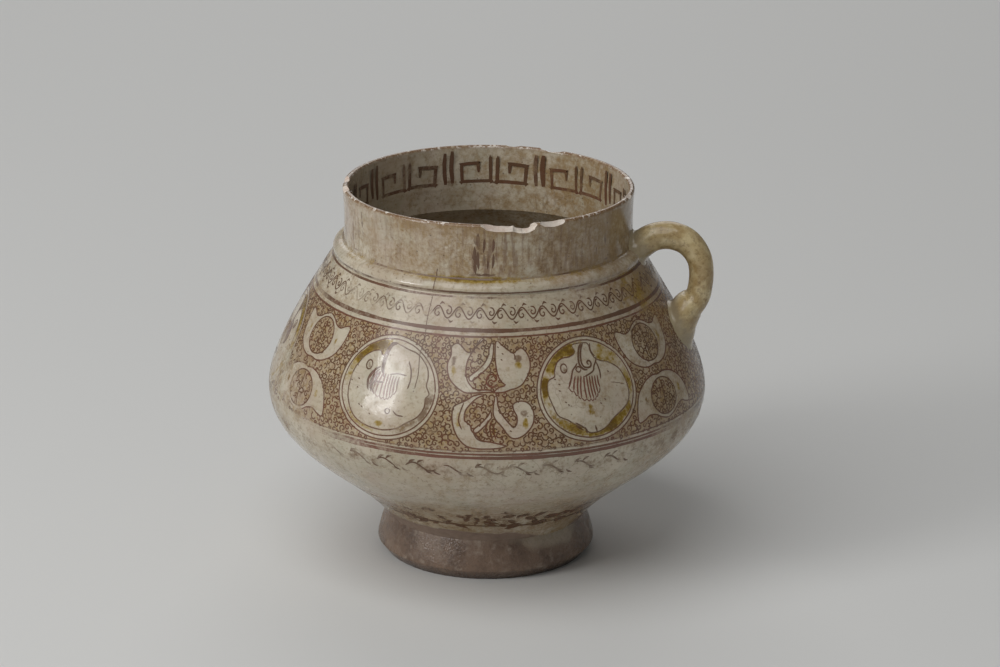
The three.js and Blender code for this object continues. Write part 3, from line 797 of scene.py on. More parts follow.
class FriezeMap:
    """Where the flat frieze has motifs, olive and brown spots, on a fine grid."""

    step = 0.35

    def __init__(self):
        round_it = math.tau * WRAP_RADIUS
        self.columns = round(round_it / self.step)
        self.rows = round((FRIEZE_HIGH - FRIEZE_LOW) / self.step) + 1
        self.x = (np.arange(self.columns) / self.columns - 0.5) * round_it
        self.y = FRIEZE_LOW + np.arange(self.rows) * self.step
        self.grids = np.zeros((3, self.rows, self.columns))
        for motif, degrees, side in CELLS:
            middle = math.radians(degrees) * WRAP_RADIUS
            u = (self.x - middle + round_it / 2) % round_it - round_it / 2
            near = np.abs(u) < CELL_HALF_WIDTH
            u, v = np.meshgrid(u[near] * side, self.y - FRIEZE_MIDDLE)
            self.grids[:, :, near] = np.maximum(self.grids[:, :, near], self.drawn(motif, u, v))
        self.room = self.measure_room()

    def drawn(self, motif, u, v):
        """One motif's silhouette over a field, and how olive and how brown its spots are."""
        keep = np.zeros(u.shape, dtype=bool)
        olive = np.zeros(u.shape)
        brown = np.zeros(u.shape)
        for shape in motif.get("shapes", []):
            keep |= inside(spline(shape, 6), u, v)
        for shape in motif.get("openings", []):
            keep &= ~inside(spline(shape, 6), u, v)
        if "rings" in motif:
            outer, inner = motif["rings"]
            keep |= (u / outer[0]) ** 2 + (v / outer[1]) ** 2 < 1
            gap = (u / inner[0]) ** 2 + (v / inner[1]) ** 2 < 0.97
            gap &= ~inside(spline(motif["body"], 6), u, v)
            turn = np.degrees(np.arctan2(v / inner[1], u / inner[0])) % 360
            turns, olives, browns = np.array(motif["blotches"]).T
            olive = np.interp(turn, turns, olives) * gap
            brown = np.interp(turn, turns, browns) * gap
        for middle_u, middle_v, half_u, half_v, much_olive, much_brown in motif.get("spots", []):
            away = ((u - middle_u) / half_u) ** 2 + ((v - middle_v) / half_v) ** 2
            spot = 1 - smooth_step(away, 0.5, 1.5)
            olive = np.maximum(olive, spot * much_olive)
            brown = np.maximum(brown, spot * much_brown)
        return np.array([keep, olive, brown])

    def measure_room(self):
        """How far each point of the ground is from the nearest motif or border, up to 2.1 mm."""
        free = self.grids[0] < 0.5
        room = np.zeros(free.shape)
        for _ in range(6):
            room += free * self.step
            padded = np.pad(free, ((1, 1), (0, 0)))
            free = free & padded[:-2] & padded[2:] & np.roll(free, 1, 1) & np.roll(free, -1, 1)
        return room

    def read(self, angle, slant):
        """Reads the three grids at points of the jar, smoothly between their cells."""
        column = (angle / math.tau + 0.5) * self.columns
        row = np.clip((slant - FRIEZE_LOW) / self.step, 0, self.rows - 1.001)
        left, low = np.floor(column).astype(int), np.floor(row).astype(int)
        right_share, up_share = column - left, row - low
        left, right = left % self.columns, (left + 1) % self.columns
        lower, upper = (
            self.grids[:, line, left] * (1 - right_share) + self.grids[:, line, right] * right_share
            for line in (low, low + 1)
        )
        inside_frieze = (slant > FRIEZE_LOW) & (slant < FRIEZE_HIGH)
        return (lower * (1 - up_share) + upper * up_share) * inside_frieze


FRIEZE = FriezeMap()


def near_angle(angle, degrees, half_width):
    """One at an angle, fading to nothing at the half width, both in degrees."""
    gap = np.abs((np.degrees(angle) - degrees + 180) % 360 - 180)
    return 1 - smooth_step(gap, 0, half_width)


def glaze_runs(angle):
    """Where round the jar the glaze ran down on to the foot."""
    return np.maximum(near_angle(angle, -40, 30), 0.9 * near_angle(angle, 118, 34))


def hem_wave(angle):
    """How the lower edge of the glaze runs up and down round the foot, and right down in two runs."""
    ragged = 0.8 * wobble(angle, 21, (2, 5, 9, 14, 23)) + 0.5 * wobble(angle, 22, (3, 31, 44))
    return ragged - 5.5 * glaze_runs(angle)


def weather(piece):
    """Marks where a piece is stained (partly painted shade), washed with lustre, spotted or bare, by where
    its points are.
    """
    points = coordinates(piece)
    angle, radius = round_the_jar(points)
    z = points[:, 2]
    slant = np.interp(z, OUTLINE[:, 1], run_lengths(OUTLINE))
    body = (z < SEAT_Z + 0.01) & (radius > np.interp(z, OUTLINE[:, 1], OUTLINE[:, 0]) - 1.5)
    mouth = ~body & ((radius < INNER_RADIUS + 1) | (z < SEAT_Z))
    neck = ~body & ~mouth
    uneven = wobble(angle, 5, (2, 3, 5, 8, 12))
    motif, olive, brown = FRIEZE.read(angle, slant) * body
    frieze = (slant > FRIEZE_LOW) & (slant < FRIEZE_HIGH) & body
    faded = near_angle(angle, -156, 40) * (1 - smooth_step(slant, 78, 98))
    in_patches = smooth_step(wobble(angle, 71, (1, 2, 4, 7)), 0.3, 0.8)
    faded += 0.5 * in_patches * (1 - near_angle(angle, -60, 100))
    faded = np.clip(faded * body, 0, 1)
    mark(piece, "faded", faded)
    mark(piece, "wash", frieze * (1 - motif) * (1 - 0.6 * faded))
    mark(piece, "motif", frieze * motif)
    olive += 0.35 * body * smooth_step(slant, 106, 112) * near_angle(angle, -20, 22)
    over_roll = between(z, SEAT_Z + 3.2, SEAT_Z + 4.4, SEAT_Z + 5, SEAT_Z + 6.4)
    olive += neck * over_roll * (0.3 + 0.25 * uneven + 0.45 * near_angle(angle, -88, 24))
    mark(piece, "olive", np.clip(olive, 0, 1))
    smears = 0.5 * between(slant, 8, 13, 20, 34) * (0.75 + 0.35 * wobble(angle, 9, (4, 9, 15, 22)))
    low_line = 0.35 * between(slant, 5.5, 8, 8, 11)
    worn_line = 0.34 * between(slant, 56, 60, 62, 66)
    upright = between(z, 119, 122, 133, 138)
    on_neck = 0.32 * near_angle(angle, -84, 12) + 0.26 * near_angle(angle, -58, 22)
    on_neck += 0.24 * near_angle(angle, -20, 30) + 0.18 * near_angle(angle, -118, 20)
    brown += body * (smears + low_line + worn_line) + neck * upright * on_neck
    brown += mouth * 0.4 * between(z, 123, 126, 129, 132) * near_angle(angle, 118, 14)
    mark(piece, "brown", np.clip(brown, 0, 1))
    # The stain mark is partly real staining and partly painted shade: it is heavier on the side towards the
    # handle, away from the left light, and at the far left edge, painted shade in both places; it also
    # grows darker towards the bottom.
    to_the_handle = near_angle(angle, 0, 60) * smooth_step(slant, 96, 122)
    stain_and_shade = body * (0.16 + 0.12 * uneven + 0.45 * to_the_handle + 0.14 * near_angle(angle, 180, 80))
    stain_and_shade += body * (0.26 * (1 - smooth_step(slant, 8, 46)) + 0.34 * near_angle(angle, -8, 66))
    stain_and_shade += body * 0.18 * near_angle(angle, -168, 34)
    roll = 1 - smooth_step(z, SEAT_Z + 3, SEAT_Z + 5)
    # On the neck the stain is heavier towards the handle, which is painted shade on the side away from the
    # left light.
    stain_and_shade += neck * (0.42 + 0.2 * uneven + 0.42 * near_angle(angle, -18, 60) - 0.3 * roll)
    stain_and_shade += neck * 0.35 * smooth_step(z, RIM_Z - 6, RIM_Z) * near_angle(angle, -92, 40)
    stain_and_shade += mouth * (0.3 + 0.16 * uneven + 0.2 * near_angle(angle, 55, 70))
    mark(piece, "stain_and_shade", np.clip(stain_and_shade, 0, 1))
    traces = 0.35 + 0.4 * wobble(angle, 72, (3, 5, 9, 14)) + 0.4 * near_angle(angle, -84, 16)
    mark(piece, "traces", neck * smooth_step(z, SEAT_Z + 5, SEAT_Z + 7) * np.clip(traces, 0.1, 1))
    hem = WAIST_Z + bpy.context.scene.jar_sizes.hem_height / MM + hem_wave(angle)
    mark(piece, "bare", smooth_step(hem - z, -0.15, 0.25))
    mark(piece, "lip", smooth_step(z, RIM_Z - 1.5, RIM_Z - 0.1))


# Clouds in the glaze: width in millimetres, where they start and are full, how strong, and colour
GLAZE_CLOUDS = [
    (24, 0.42, 0.68, 0.45, "#b59f92"),
    (19, 0.45, 0.7, 0.5, "#a7a38f"),
    (11, 0.55, 0.75, 0.4, "#9c8468"),
    (4, 0.56, 0.8, 0.45, "#8f7c66"),
    (2.6, 0.56, 0.72, 0.4, "#cfc6b6"),
    (1.5, 0.54, 0.68, 0.55, "#846f58"),
]


def in_millimetres(tree):
    """Where a point of the material lies, in millimetres."""
    place = add(tree, "ShaderNodeTexCoord").outputs["Object"]
    return add(tree, "ShaderNodeVectorMath", {0: place, "Scale": 1 / MM}, operation="SCALE")


def tinted(tree, colour, tint, pattern, low, high, strength=1.0, within=None, ease="LINEAR"):
    """Mixes a tint into a colour where a pattern goes from low to high, and only within a mark."""
    feeds = {"Value": pattern, "From Min": low, "From Max": high, "To Max": strength}
    amount = add(tree, "ShaderNodeMapRange", feeds, interpolation_type=ease)
    if within is not None:
        amount = add(tree, "ShaderNodeMath", {0: amount, 1: within}, operation="MULTIPLY")
    return add(tree, "ShaderNodeMix", {"Factor": amount, "A": colour, "B": tint}, data_type="RGBA")


def glaze_group():
    """The fired glaze, shared by the pieces and by the paint, so that paint worn thin shows it.

    An opaque cream glaze, cloudy with age: pink and grey-green drifts, tan stains, dark pits, a net
    of fine cracks and flat worn streaks, browner where the marks on the piece say so. The stain mark
    also carries painted shade on the side of the jar away from the left light.
    """
    tree = bpy.data.node_groups.new("fired_glaze", "ShaderNodeTree")
    for name, kind in (("Colour", "Color"), ("Roughness", "Float"), ("Height", "Float"), ("Wear", "Float")):
        tree.interface.new_socket(name=name, in_out="OUTPUT", socket_type="NodeSocket" + kind)
    colours = bpy.context.scene.finish_colours
    mm = in_millimetres(tree)
    marks = {}
    for name in ("wash", "motif", "olive", "brown", "stain_and_shade", "traces", "bare", "lip"):
        marks[name] = add(tree, "ShaderNodeAttribute", attribute_name=name).outputs["Fac"]
    broad = add(tree, "ShaderNodeTexNoise", {"Vector": mm, "Scale": 1 / 30, "Detail": 3.0})
    colour = tinted(tree, colours.cream, colours.pale, broad, 0.38, 0.62)
    for wide, low, high, strength, code in GLAZE_CLOUDS:
        feeds = {"Vector": mm, "Scale": 1 / wide, "Detail": 5.0, "Roughness": 0.6, "Distortion": 0.4}
        cloud = add(tree, "ShaderNodeTexNoise", feeds)
        colour = tinted(tree, colour, linear(code), cloud, low, high, strength, ease="SMOOTHSTEP")
    # Motifs were kept clear of lustre, so they stay lighter than the washed ground
    colour = tinted(tree, colour, colours.pale, marks["motif"], 0, 1, 0.16)
    feeds = {"Vector": mm, "Scale": 1 / 1.3, "Detail": 5.0, "Roughness": 0.65}
    fine = add(tree, "ShaderNodeTexNoise", feeds)
    feeds = {"Vector": mm, "Scale": 1 / 5, "Detail": 4.0, "Roughness": 0.6}
    blotch = add(tree, "ShaderNodeTexNoise", feeds)
    broken = add(tree, "ShaderNodeMix", {"Factor": 0.45, "A": blotch, "B": fine}, data_type="FLOAT")
    centred = add(tree, "ShaderNodeMath", {0: broken, 1: -0.5}, operation="ADD")
    # Between the curls the lustre flooded in gold and brown patches, about 2.5 mm across
    flooded = add(tree, "ShaderNodeTexNoise", {"Vector": mm, "Scale": 1 / 2.6, "Detail": 3.0})
    for low, high, strength, code in ((0.5, 0.62, 0.62, "#93743a"), (0.47, 0.38, 0.55, "#7f5a45")):
        colour = tinted(tree, colour, linear(code), flooded, low, high, strength, marks["wash"])
    layers = [
        ("wash", 1.17, 0.3, 1.0, linear("#9a8058"), 0.5),
        # The stain layer is partly painted shade, where the marks put it on the jar's dim side
        ("stain_and_shade", 2.2, 0.15, 0.85, colours.stain_and_shade, 0.88),
        ("brown", 2.2, 0.25, 0.8, linear("#654931"), 0.8),
        ("olive", 2, 0.18, 0.85, colours.olive, 0.92),
        ("olive", 3.4, 0.62, 1.15, linear("#60440f"), 0.85),
    ]
    for name, grain, low, high, tint, strength in layers:
        feeds = {0: centred, 1: grain, 2: marks[name]}
        ragged = add(tree, "ShaderNodeMath", feeds, operation="MULTIPLY_ADD")
        present = add(tree, "ShaderNodeMapRange", {"Value": marks[name], "From Max": 0.15})
        colour = tinted(tree, colour, tint, ragged, low, high, strength, present, "SMOOTHSTEP")
    # Streaks that run round the jar where it was wiped on the wheel, about 1.6 mm high
    flat = add(tree, "ShaderNodeMapping", {"Vector": mm, "Scale": (1 / 26, 1 / 26, 1 / 1.6)})
    streak = add(tree, "ShaderNodeTexNoise", {"Vector": flat, "Scale": 1.0, "Detail": 4.0})
    feeds = {"Value": streak, "From Min": 0.52, "From Max": 0.78, "To Max": 0.32}
    streak = add(tree, "ShaderNodeMapRange", feeds)
    feeds = {"Factor": streak, "A": colour, "B": linear("#8b7760")}
    colour = add(tree, "ShaderNodeMix", feeds, data_type="RGBA")
    # Upright traces of the worn painting on the neck, about a millimetre wide
    tall = add(tree, "ShaderNodeMapping", {"Vector": mm, "Scale": (1 / 1.2, 1 / 1.2, 1 / 10)})
    trace = add(tree, "ShaderNodeTexNoise", {"Vector": tall, "Scale": 1.0, "Detail": 3.0})
    colour = tinted(tree, colour, linear("#71543f"), trace, 0.48, 0.62, 0.8, marks["traces"])
    # Pinholes and iron specks, about half a millimetre across
    cell = add(tree, "ShaderNodeTexVoronoi", {"Vector": mm, "Scale": 1 / 2.4})
    feeds = {"Value": cell.outputs["Distance"], "From Min": 0.16, "From Max": 0.06}
    speck = add(tree, "ShaderNodeMapRange", feeds)
    chosen = add(tree, "ShaderNodeSeparateColor", {0: cell.outputs["Color"]}).outputs[0]
    feeds = {"Value": chosen, "From Min": 0.72, "From Max": 0.8, "To Max": 0.7}
    chosen = add(tree, "ShaderNodeMapRange", feeds)
    speck = add(tree, "ShaderNodeMath", {0: speck, 1: chosen}, operation="MULTIPLY")
    feeds = {"Factor": speck, "A": colour, "B": linear("#4d3a2b")}
    colour = add(tree, "ShaderNodeMix", feeds, data_type="RGBA")
    # A net of cracks about 8 mm wide, dark with age, drawn wider than real so that it shows
    bent = add(tree, "ShaderNodeTexNoise", {"Vector": mm, "Scale": 1 / 6, "Detail": 2.0})
    bent = add(tree, "ShaderNodeVectorMath", {0: bent.outputs["Color"], "Scale": 4.0}, operation="SCALE")
    bent = add(tree, "ShaderNodeVectorMath", {0: mm, 1: bent}, operation="ADD")
    feeds = {"Vector": bent, "Scale": 1 / 8.5}
    net = add(tree, "ShaderNodeTexVoronoi", feeds, feature="DISTANCE_TO_EDGE")
    feeds = {"Value": net, "From Min": 0.018, "From Max": 0.006, "To Max": 0.26}
    crack = add(tree, "ShaderNodeMapRange", feeds)
    here = add(tree, "ShaderNodeMapRange", {"Value": broad, "From Min": 0.45, "From Max": 0.6})
    crack = add(tree, "ShaderNodeMath", {0: crack, 1: here}, operation="MULTIPLY")
    feeds = {"Factor": crack, "A": colour, "B": linear("#5f4c3a")}
    colour = add(tree, "ShaderNodeMix", feeds, data_type="RGBA")
    # The lip is rubbed down to brown clay, with pale flakes where the glaze has gone
    feeds = {"Vector": mm, "Scale": 1 / 3, "Detail": 5.0, "Roughness": 0.7}
    rubbed = add(tree, "ShaderNodeTexNoise", feeds)
    for low, high, code in ((0.36, 0.5, "#76583c"), (0.55, 0.6, "#d8cfc2")):
        colour = tinted(tree, colour, linear(code), rubbed, low, high, within=marks["lip"])
    # Below the hem of the glaze the clay is bare
    grit = add(tree, "ShaderNodeTexNoise", {"Vector": mm, "Scale": 1 / 2.5, "Detail": 5.0})
    feeds = {"Factor": grit, "A": linear("#6a564b"), "B": linear("#a08c7c")}
    clay = add(tree, "ShaderNodeMix", feeds, data_type="RGBA")
    feeds = {"Factor": marks["bare"], "A": colour, "B": clay}
    colour = add(tree, "ShaderNodeMix", feeds, data_type="RGBA")
    feeds = {"Value": blotch, "From Min": 0.38, "From Max": 0.68, "To Min": 0.08, "To Max": 0.32}
    dull = add(tree, "ShaderNodeMapRange", feeds)
    feeds = {"Factor": marks["bare"], "A": dull, "B": 0.85}
    rough = add(tree, "ShaderNodeMix", feeds, data_type="FLOAT")
    # Orange-peel of the glaze, wheel marks, pits and cracks
    peel = add(tree, "ShaderNodeTexNoise", {"Vector": mm, "Scale": 1 / 2.2, "Detail": 3.0})
    height = add(tree, "ShaderNodeMath", {0: streak, 1: 0.35, 2: peel}, operation="MULTIPLY_ADD")
    height = add(tree, "ShaderNodeMath", {0: speck, 1: -0.8, 2: height}, operation="MULTIPLY_ADD")
    height = add(tree, "ShaderNodeMath", {0: crack, 1: -0.7, 2: height}, operation="MULTIPLY_ADD")
    add(tree, "NodeGroupOutput", {"Colour": colour, "Roughness": rough, "Height": height, "Wear": broken})
    return tree


def new_material(name):
    """A node material with its tree and its shader."""
    material = bpy.data.materials.new(name)
    material.use_nodes = True
    return material, material.node_tree, material.node_tree.nodes["Principled BSDF"]


def feed_shader(tree, shader, colour, roughness, height, strength, distance):
    """Feeds the shader a colour, a roughness and a bump, whose depth is given in millimetres."""
    bump = add(tree, "ShaderNodeBump", {"Height": height, "Strength": strength, "Distance": distance * MM})
    for name, value in (("Base Color", colour), ("Roughness", roughness), ("Normal", bump)):
        feed(tree, shader.inputs[name], value)


def shared_glaze(tree):
    """A node of the fired glaze in a material."""
    group = bpy.data.node_groups.get("fired_glaze") or glaze_group()
    return add(tree, "ShaderNodeGroup", node_tree=group).outputs


# How strong and how deep the unevenness of the glaze is, the depth in millimetres
GLAZE_BUMP = (0.35, 0.12)


def glaze_material(name):
    """Opaque cream glaze: glossy, cloudy, gently uneven like orange peel, so highlights break up."""
    material, tree, shader = new_material(name)
    glaze = shared_glaze(tree)
    feed_shader(tree, shader, glaze["Colour"], glaze["Roughness"], glaze["Height"], *GLAZE_BUMP)
    return material


def lustre_material(name):
    """Brown lustre brushed on the fired glaze: a thin film, patchy, rubbed through to the cream."""
    material, tree, shader = new_material(name)
    colours = bpy.context.scene.finish_colours
    glaze = shared_glaze(tree)
    tone = add(tree, "ShaderNodeAttribute", attribute_name="tone").outputs["Fac"]
    red = add(tree, "ShaderNodeAttribute", attribute_name="red").outputs["Fac"]
    place = add(tree, "ShaderNodeTexCoord").outputs["Object"]
    drift = add(tree, "ShaderNodeTexNoise", {"Vector": place, "Scale": 1 / (13 * MM), "Detail": 2.0})
    redder = add(tree, "ShaderNodeMath", {0: drift, 1: -0.5}, operation="ADD")
    feeds = {0: redder, 1: 1.6, 2: red}
    redder = add(tree, "ShaderNodeMath", feeds, operation="MULTIPLY_ADD", use_clamp=True)
    feeds = {"Factor": redder, "A": colours.lustre, "B": colours.red_lustre}
    paint = add(tree, "ShaderNodeMix", feeds, data_type="RGBA")
    faded = add(tree, "ShaderNodeAttribute", attribute_name="faded").outputs["Fac"]
    worn = add(tree, "ShaderNodeMath", {0: faded, 1: 0.4, 2: glaze["Wear"]}, operation="MULTIPLY_ADD")
    left = add(tree, "ShaderNodeMath", {0: tone, 1: 0.9, 2: 0.16}, operation="MULTIPLY_ADD")
    left = add(tree, "ShaderNodeMath", {0: left, 1: worn}, operation="SUBTRACT")
    colour = tinted(tree, glaze["Colour"], paint, left, -0.04, 0.26, 0.92, ease="SMOOTHSTEP")
    feed_shader(tree, shader, colour, glaze["Roughness"], glaze["Height"], *GLAZE_BUMP)
    return material


def clay_material(name, base, dark, pale, smoothest):
    """Bare fritware: gritty and mostly matt, with dirt in its pits, pale scuffs, splashed glaze, and grime
    mixed with painted shade where the foot meets the floor.
    """
    material, tree, shader = new_material(name)
    splash = add(tree, "ShaderNodeAttribute", attribute_name="splash").outputs["Fac"]
    mm = in_millimetres(tree)
    feeds = {"Vector": mm, "Scale": 1 / 9, "Detail": 5.0, "Roughness": 0.6}
    patches = add(tree, "ShaderNodeTexNoise", feeds)
    feeds = {"Vector": mm, "Scale": 1 / 3.2, "Detail": 6.0, "Roughness": 0.7}
    scuffs = add(tree, "ShaderNodeTexNoise", feeds)
    feeds = {"Vector": mm, "Scale": 1 / 0.9, "Detail": 4.0, "Roughness": 0.7}
    grit = add(tree, "ShaderNodeTexNoise", feeds)
    colour = base
    layers = [(patches, 0.45, 0.7, 0.8, dark), (scuffs, 0.56, 0.72, 0.7, pale), (grit, 0.6, 0.7, 0.5, dark)]
    for pattern, low, high, strength, tint in layers:
        colour = tinted(tree, colour, tint, pattern, low, high, strength)
    # Darker near the floor: partly grime, partly painted shade where the foot meets the floor
    grime_and_contact_shade = add(tree, "ShaderNodeAttribute", attribute_name="grime_and_contact_shade").outputs["Fac"]
    grime_and_contact_shade = add(tree, "ShaderNodeMath", {0: grime_and_contact_shade, 1: 0.75}, operation="MULTIPLY")
    feeds = {"Factor": grime_and_contact_shade, "A": colour, "B": linear("#3a2c24")}
    colour = add(tree, "ShaderNodeMix", feeds, data_type="RGBA")
    ragged = add(tree, "ShaderNodeMath", {0: scuffs, 1: -1.4, 2: 0.7}, operation="MULTIPLY_ADD")
    ragged = add(tree, "ShaderNodeMath", {0: ragged, 1: splash}, operation="ADD")
    colour = tinted(tree, colour, linear("#aa9d8a"), ragged, 0.35, 0.75, 0.85, splash)
    feeds = {"Value": scuffs, "From Min": 0.46, "From Max": 0.7, "To Min": smoothest, "To Max": 0.75}
    rough = add(tree, "ShaderNodeMapRange", feeds)
    height = add(tree, "ShaderNodeMath", {0: patches, 1: 1.5, 2: grit}, operation="MULTIPLY_ADD")
    feed_shader(tree, shader, colour, rough, height, 0.7, 0.3)
    return material


def handle_material(name):
    """Yellow lustre glaze, thick and glossy: honey on the crests, worn thin, with olive shadows."""
    material, tree, shader = new_material(name)
    mm = in_millimetres(tree)
    feeds = {"Vector": mm, "Scale": 1 / 8, "Detail": 5.0, "Roughness": 0.6}
    clouds = add(tree, "ShaderNodeTexNoise", feeds)
    pools = add(tree, "ShaderNodeTexNoise", {"Vector": mm, "Scale": 1 / 5, "Detail": 4.0})
    feeds = {"Vector": mm, "Scale": 1 / 1.4, "Detail": 5.0, "Roughness": 0.7}
    fine = add(tree, "ShaderNodeTexNoise", feeds)
    colour = bpy.context.scene.finish_colours.handle
    layers = [
        (clouds, 0.48, 0.66, 0.6, "#8a6c3c"),
        (pools, 0.48, 0.62, 0.8, "#d3c298"),
        (fine, 0.5, 0.7, 0.6, "#6f5430"),
    ]
    for pattern, low, high, strength, code in layers:
        colour = tinted(tree, colour, linear(code), pattern, low, high, strength)
    # Its roots run into the cream glaze of the body
    root = add(tree, "ShaderNodeAttribute", attribute_name="root").outputs["Fac"]
    ragged = add(tree, "ShaderNodeMath", {0: clouds, 1: 1.6, 2: -0.8}, operation="MULTIPLY_ADD")
    ragged = add(tree, "ShaderNodeMath", {0: ragged, 1: root}, operation="ADD")
    colour = tinted(tree, colour, linear("#a3967c"), ragged, 0.25, 0.95, 0.8)
    feeds = {"Value": fine, "From Min": 0.35, "From Max": 0.7, "To Min": 0.08, "To Max": 0.28}
    rough = add(tree, "ShaderNodeMapRange", feeds)
    peel = add(tree, "ShaderNodeTexNoise", {"Vector": mm, "Scale": 1 / 1.8, "Detail": 3.0})
    feed_shader(tree, shader, colour, rough, peel, 0.5, 0.2)
    return material


class JAR_OT_foot(bpy.types.Operator):
    """Make the turned foot ring of bare clay"""

    bl_idname = "jar.foot"
    bl_label = "Foot Ring"

    def execute(self, context):
        sizes = context.scene.jar_sizes
        colours = context.scene.finish_colours
        edge = point(EDGE_RADIUS, FOOT["edge_z"])
        rounding = sizes.foot_round / MM
        top = point(WAIST_RADIUS - PAINT_ROOM - sizes.hem_step / MM, WAIST_Z)
        middle = point(EDGE_RADIUS - FOOT["drawn_in"], (edge[1] + top[1]) / 2)
        flank = bezier([edge, middle, top], 24)
        soft = FOOT["tread_round"]
        tread = arc(point(EDGE_RADIUS - FOOT["bevel"] - soft, soft), soft, -90, -30, 3)
        shoulder = arc(edge - (rounding, rounding), rounding, -35, 0, 4)
        inner, soft = FOOT["inner"], FOOT["round"]
        recess = arc(point(inner + soft, soft), soft, 180, 270, 5)
        profile = np.vstack([tread, shoulder, flank[2:], [point(inner, WAIST_Z)], recess])
        profile = np.vstack([profile, profile[:1]])
        profile[:, 0] = np.minimum(profile[:, 0], EDGE_RADIUS - PAINT_ROOM)
        dark, pale = linear("#4c3b31"), linear("#b0a394")
        clay = clay_material("bare fritware clay", colours.clay, dark, pale, 0.16)
        piece = turned_piece("turned_foot", profile, clay)
        points = coordinates(piece)
        z = points[:, 2]
        angle, _ = round_the_jar(points)
        splash = smooth_step(z + 3.4 * wobble(angle, 61, (2, 5, 9, 16, 27)), 8.5, WAIST_Z + 0.5)
        splash *= 0.35 + 0.3 * wobble(angle, 62, (2, 3, 7)) + 0.8 * glaze_runs(angle)
        mark(piece, "splash", np.clip(splash, 0, 1))
        # Darker in the lowest 3 mm of the foot: partly grime, partly painted shade where it meets the floor
        mark(piece, "grime_and_contact_shade", 1 - smooth_step(z + 0.8 * wobble(angle, 63, (3, 8, 19, 33)), 0.4, 3.4))
        finish_piece(piece, "bare_clay", "foot_ring")
        return {"FINISHED"}


class JAR_OT_bowls(bpy.types.Operator):
    """Make the two bowls of the body"""

    bl_idname = "jar.bowls"
    bl_label = "Bowls"

    def execute(self, context):
        sizes = context.scene.jar_sizes
        step = sizes.ring_step / MM
        glaze = glaze_material("opaque cream glaze")
        scarf = slant_at(SCARF_Z)
        joint = point(BELLY_RADIUS - WALL, SCARF_Z + WALL)
        floor_z = BOSS["z"] + FLOOR["thickness"]
        low = at_length(OUTLINE, rings_between(0, scarf, step))
        wall = at_length(OUTLINE, np.linspace(slant_at(floor_z + FLOOR["turn_height"]), scarf, 25))
        wall = offset(wall, -WALL)
        slope = (wall[1, 0] - wall[0, 0]) / (wall[1, 1] - wall[0, 1])
        turn = point(wall[0, 0] - (wall[0, 1] - floor_z) * slope, floor_z)
        floor = bezier([point(0, floor_z), turn, wall[0]], 14)
        inside_wall = np.vstack([floor, wall[1:], [joint]])
        radius, soft = BOSS["radius"], BOSS["round"]
        boss = arc(point(radius - soft, BOSS["z"] + soft), soft, -90, 0, 4)
        middle, root = point(0, BOSS["z"]), point(radius, WAIST_Z)
        profile = np.vstack([[middle], boss, [root], low, inside_wall[::-1]])
        lower = turned_piece("lower_bowl", profile, glaze)
        self.sink_below_hem(lower, sizes)
        weather(lower)
        finish_piece(lower, "body_glaze", "lower_body")
        high = at_length(OUTLINE, rings_between(scarf, OUTLINE_LENGTH, step))
        belly_slant = slant_at(BELLY_Z + 0.5)
        inner = offset(at_length(OUTLINE, np.linspace(belly_slant, OUTLINE_LENGTH - 2, 24)), -WALL)[::-1]
        seat_inside = point(INNER_RADIUS, SEAT_Z)
        profile = np.vstack([high, [seat_inside], inner, [joint], high[:1]])
        upper = turned_piece("upper_bowl", profile, glaze)
        weather(upper)
        finish_piece(upper, "body_glaze", "upper_body")
        return {"FINISHED"}

    def sink_below_hem(self, piece, sizes):
        """Takes the thickness of the glaze off the outside below its hem."""
        points = coordinates(piece)
        z = points[:, 2]
        angle, radius = round_the_jar(points)
        outside = (radius > np.interp(z, OUTLINE[:, 1], OUTLINE[:, 0]) - 0.5) & (z > WAIST_Z - 0.01)
        hem = WAIST_Z + sizes.hem_height / MM + hem_wave(angle)
        bare = smooth_step(hem - z, -0.3, 0.5) * outside
        share = (radius - bare * sizes.hem_step / MM) / np.maximum(radius, 1e-6)
        points[:, :2] *= share[:, None]
        move_points(piece, points)


# Chips in the lip: place in degrees, length and depth as shares of the largest chip
CHIPS = [
    (-76, 1.05, 0.72),
    (-68.5, 0.6, 1),
    (-56.5, 0.62, 0.5),
    (71, 0.7, 0.6),
    (88, 0.4, 0.4),
    (-163, 0.45, 0.4),
    (-176, 0.5, 0.5),
    (-8, 0.3, 0.3),
]
CHIP_TILT = 30


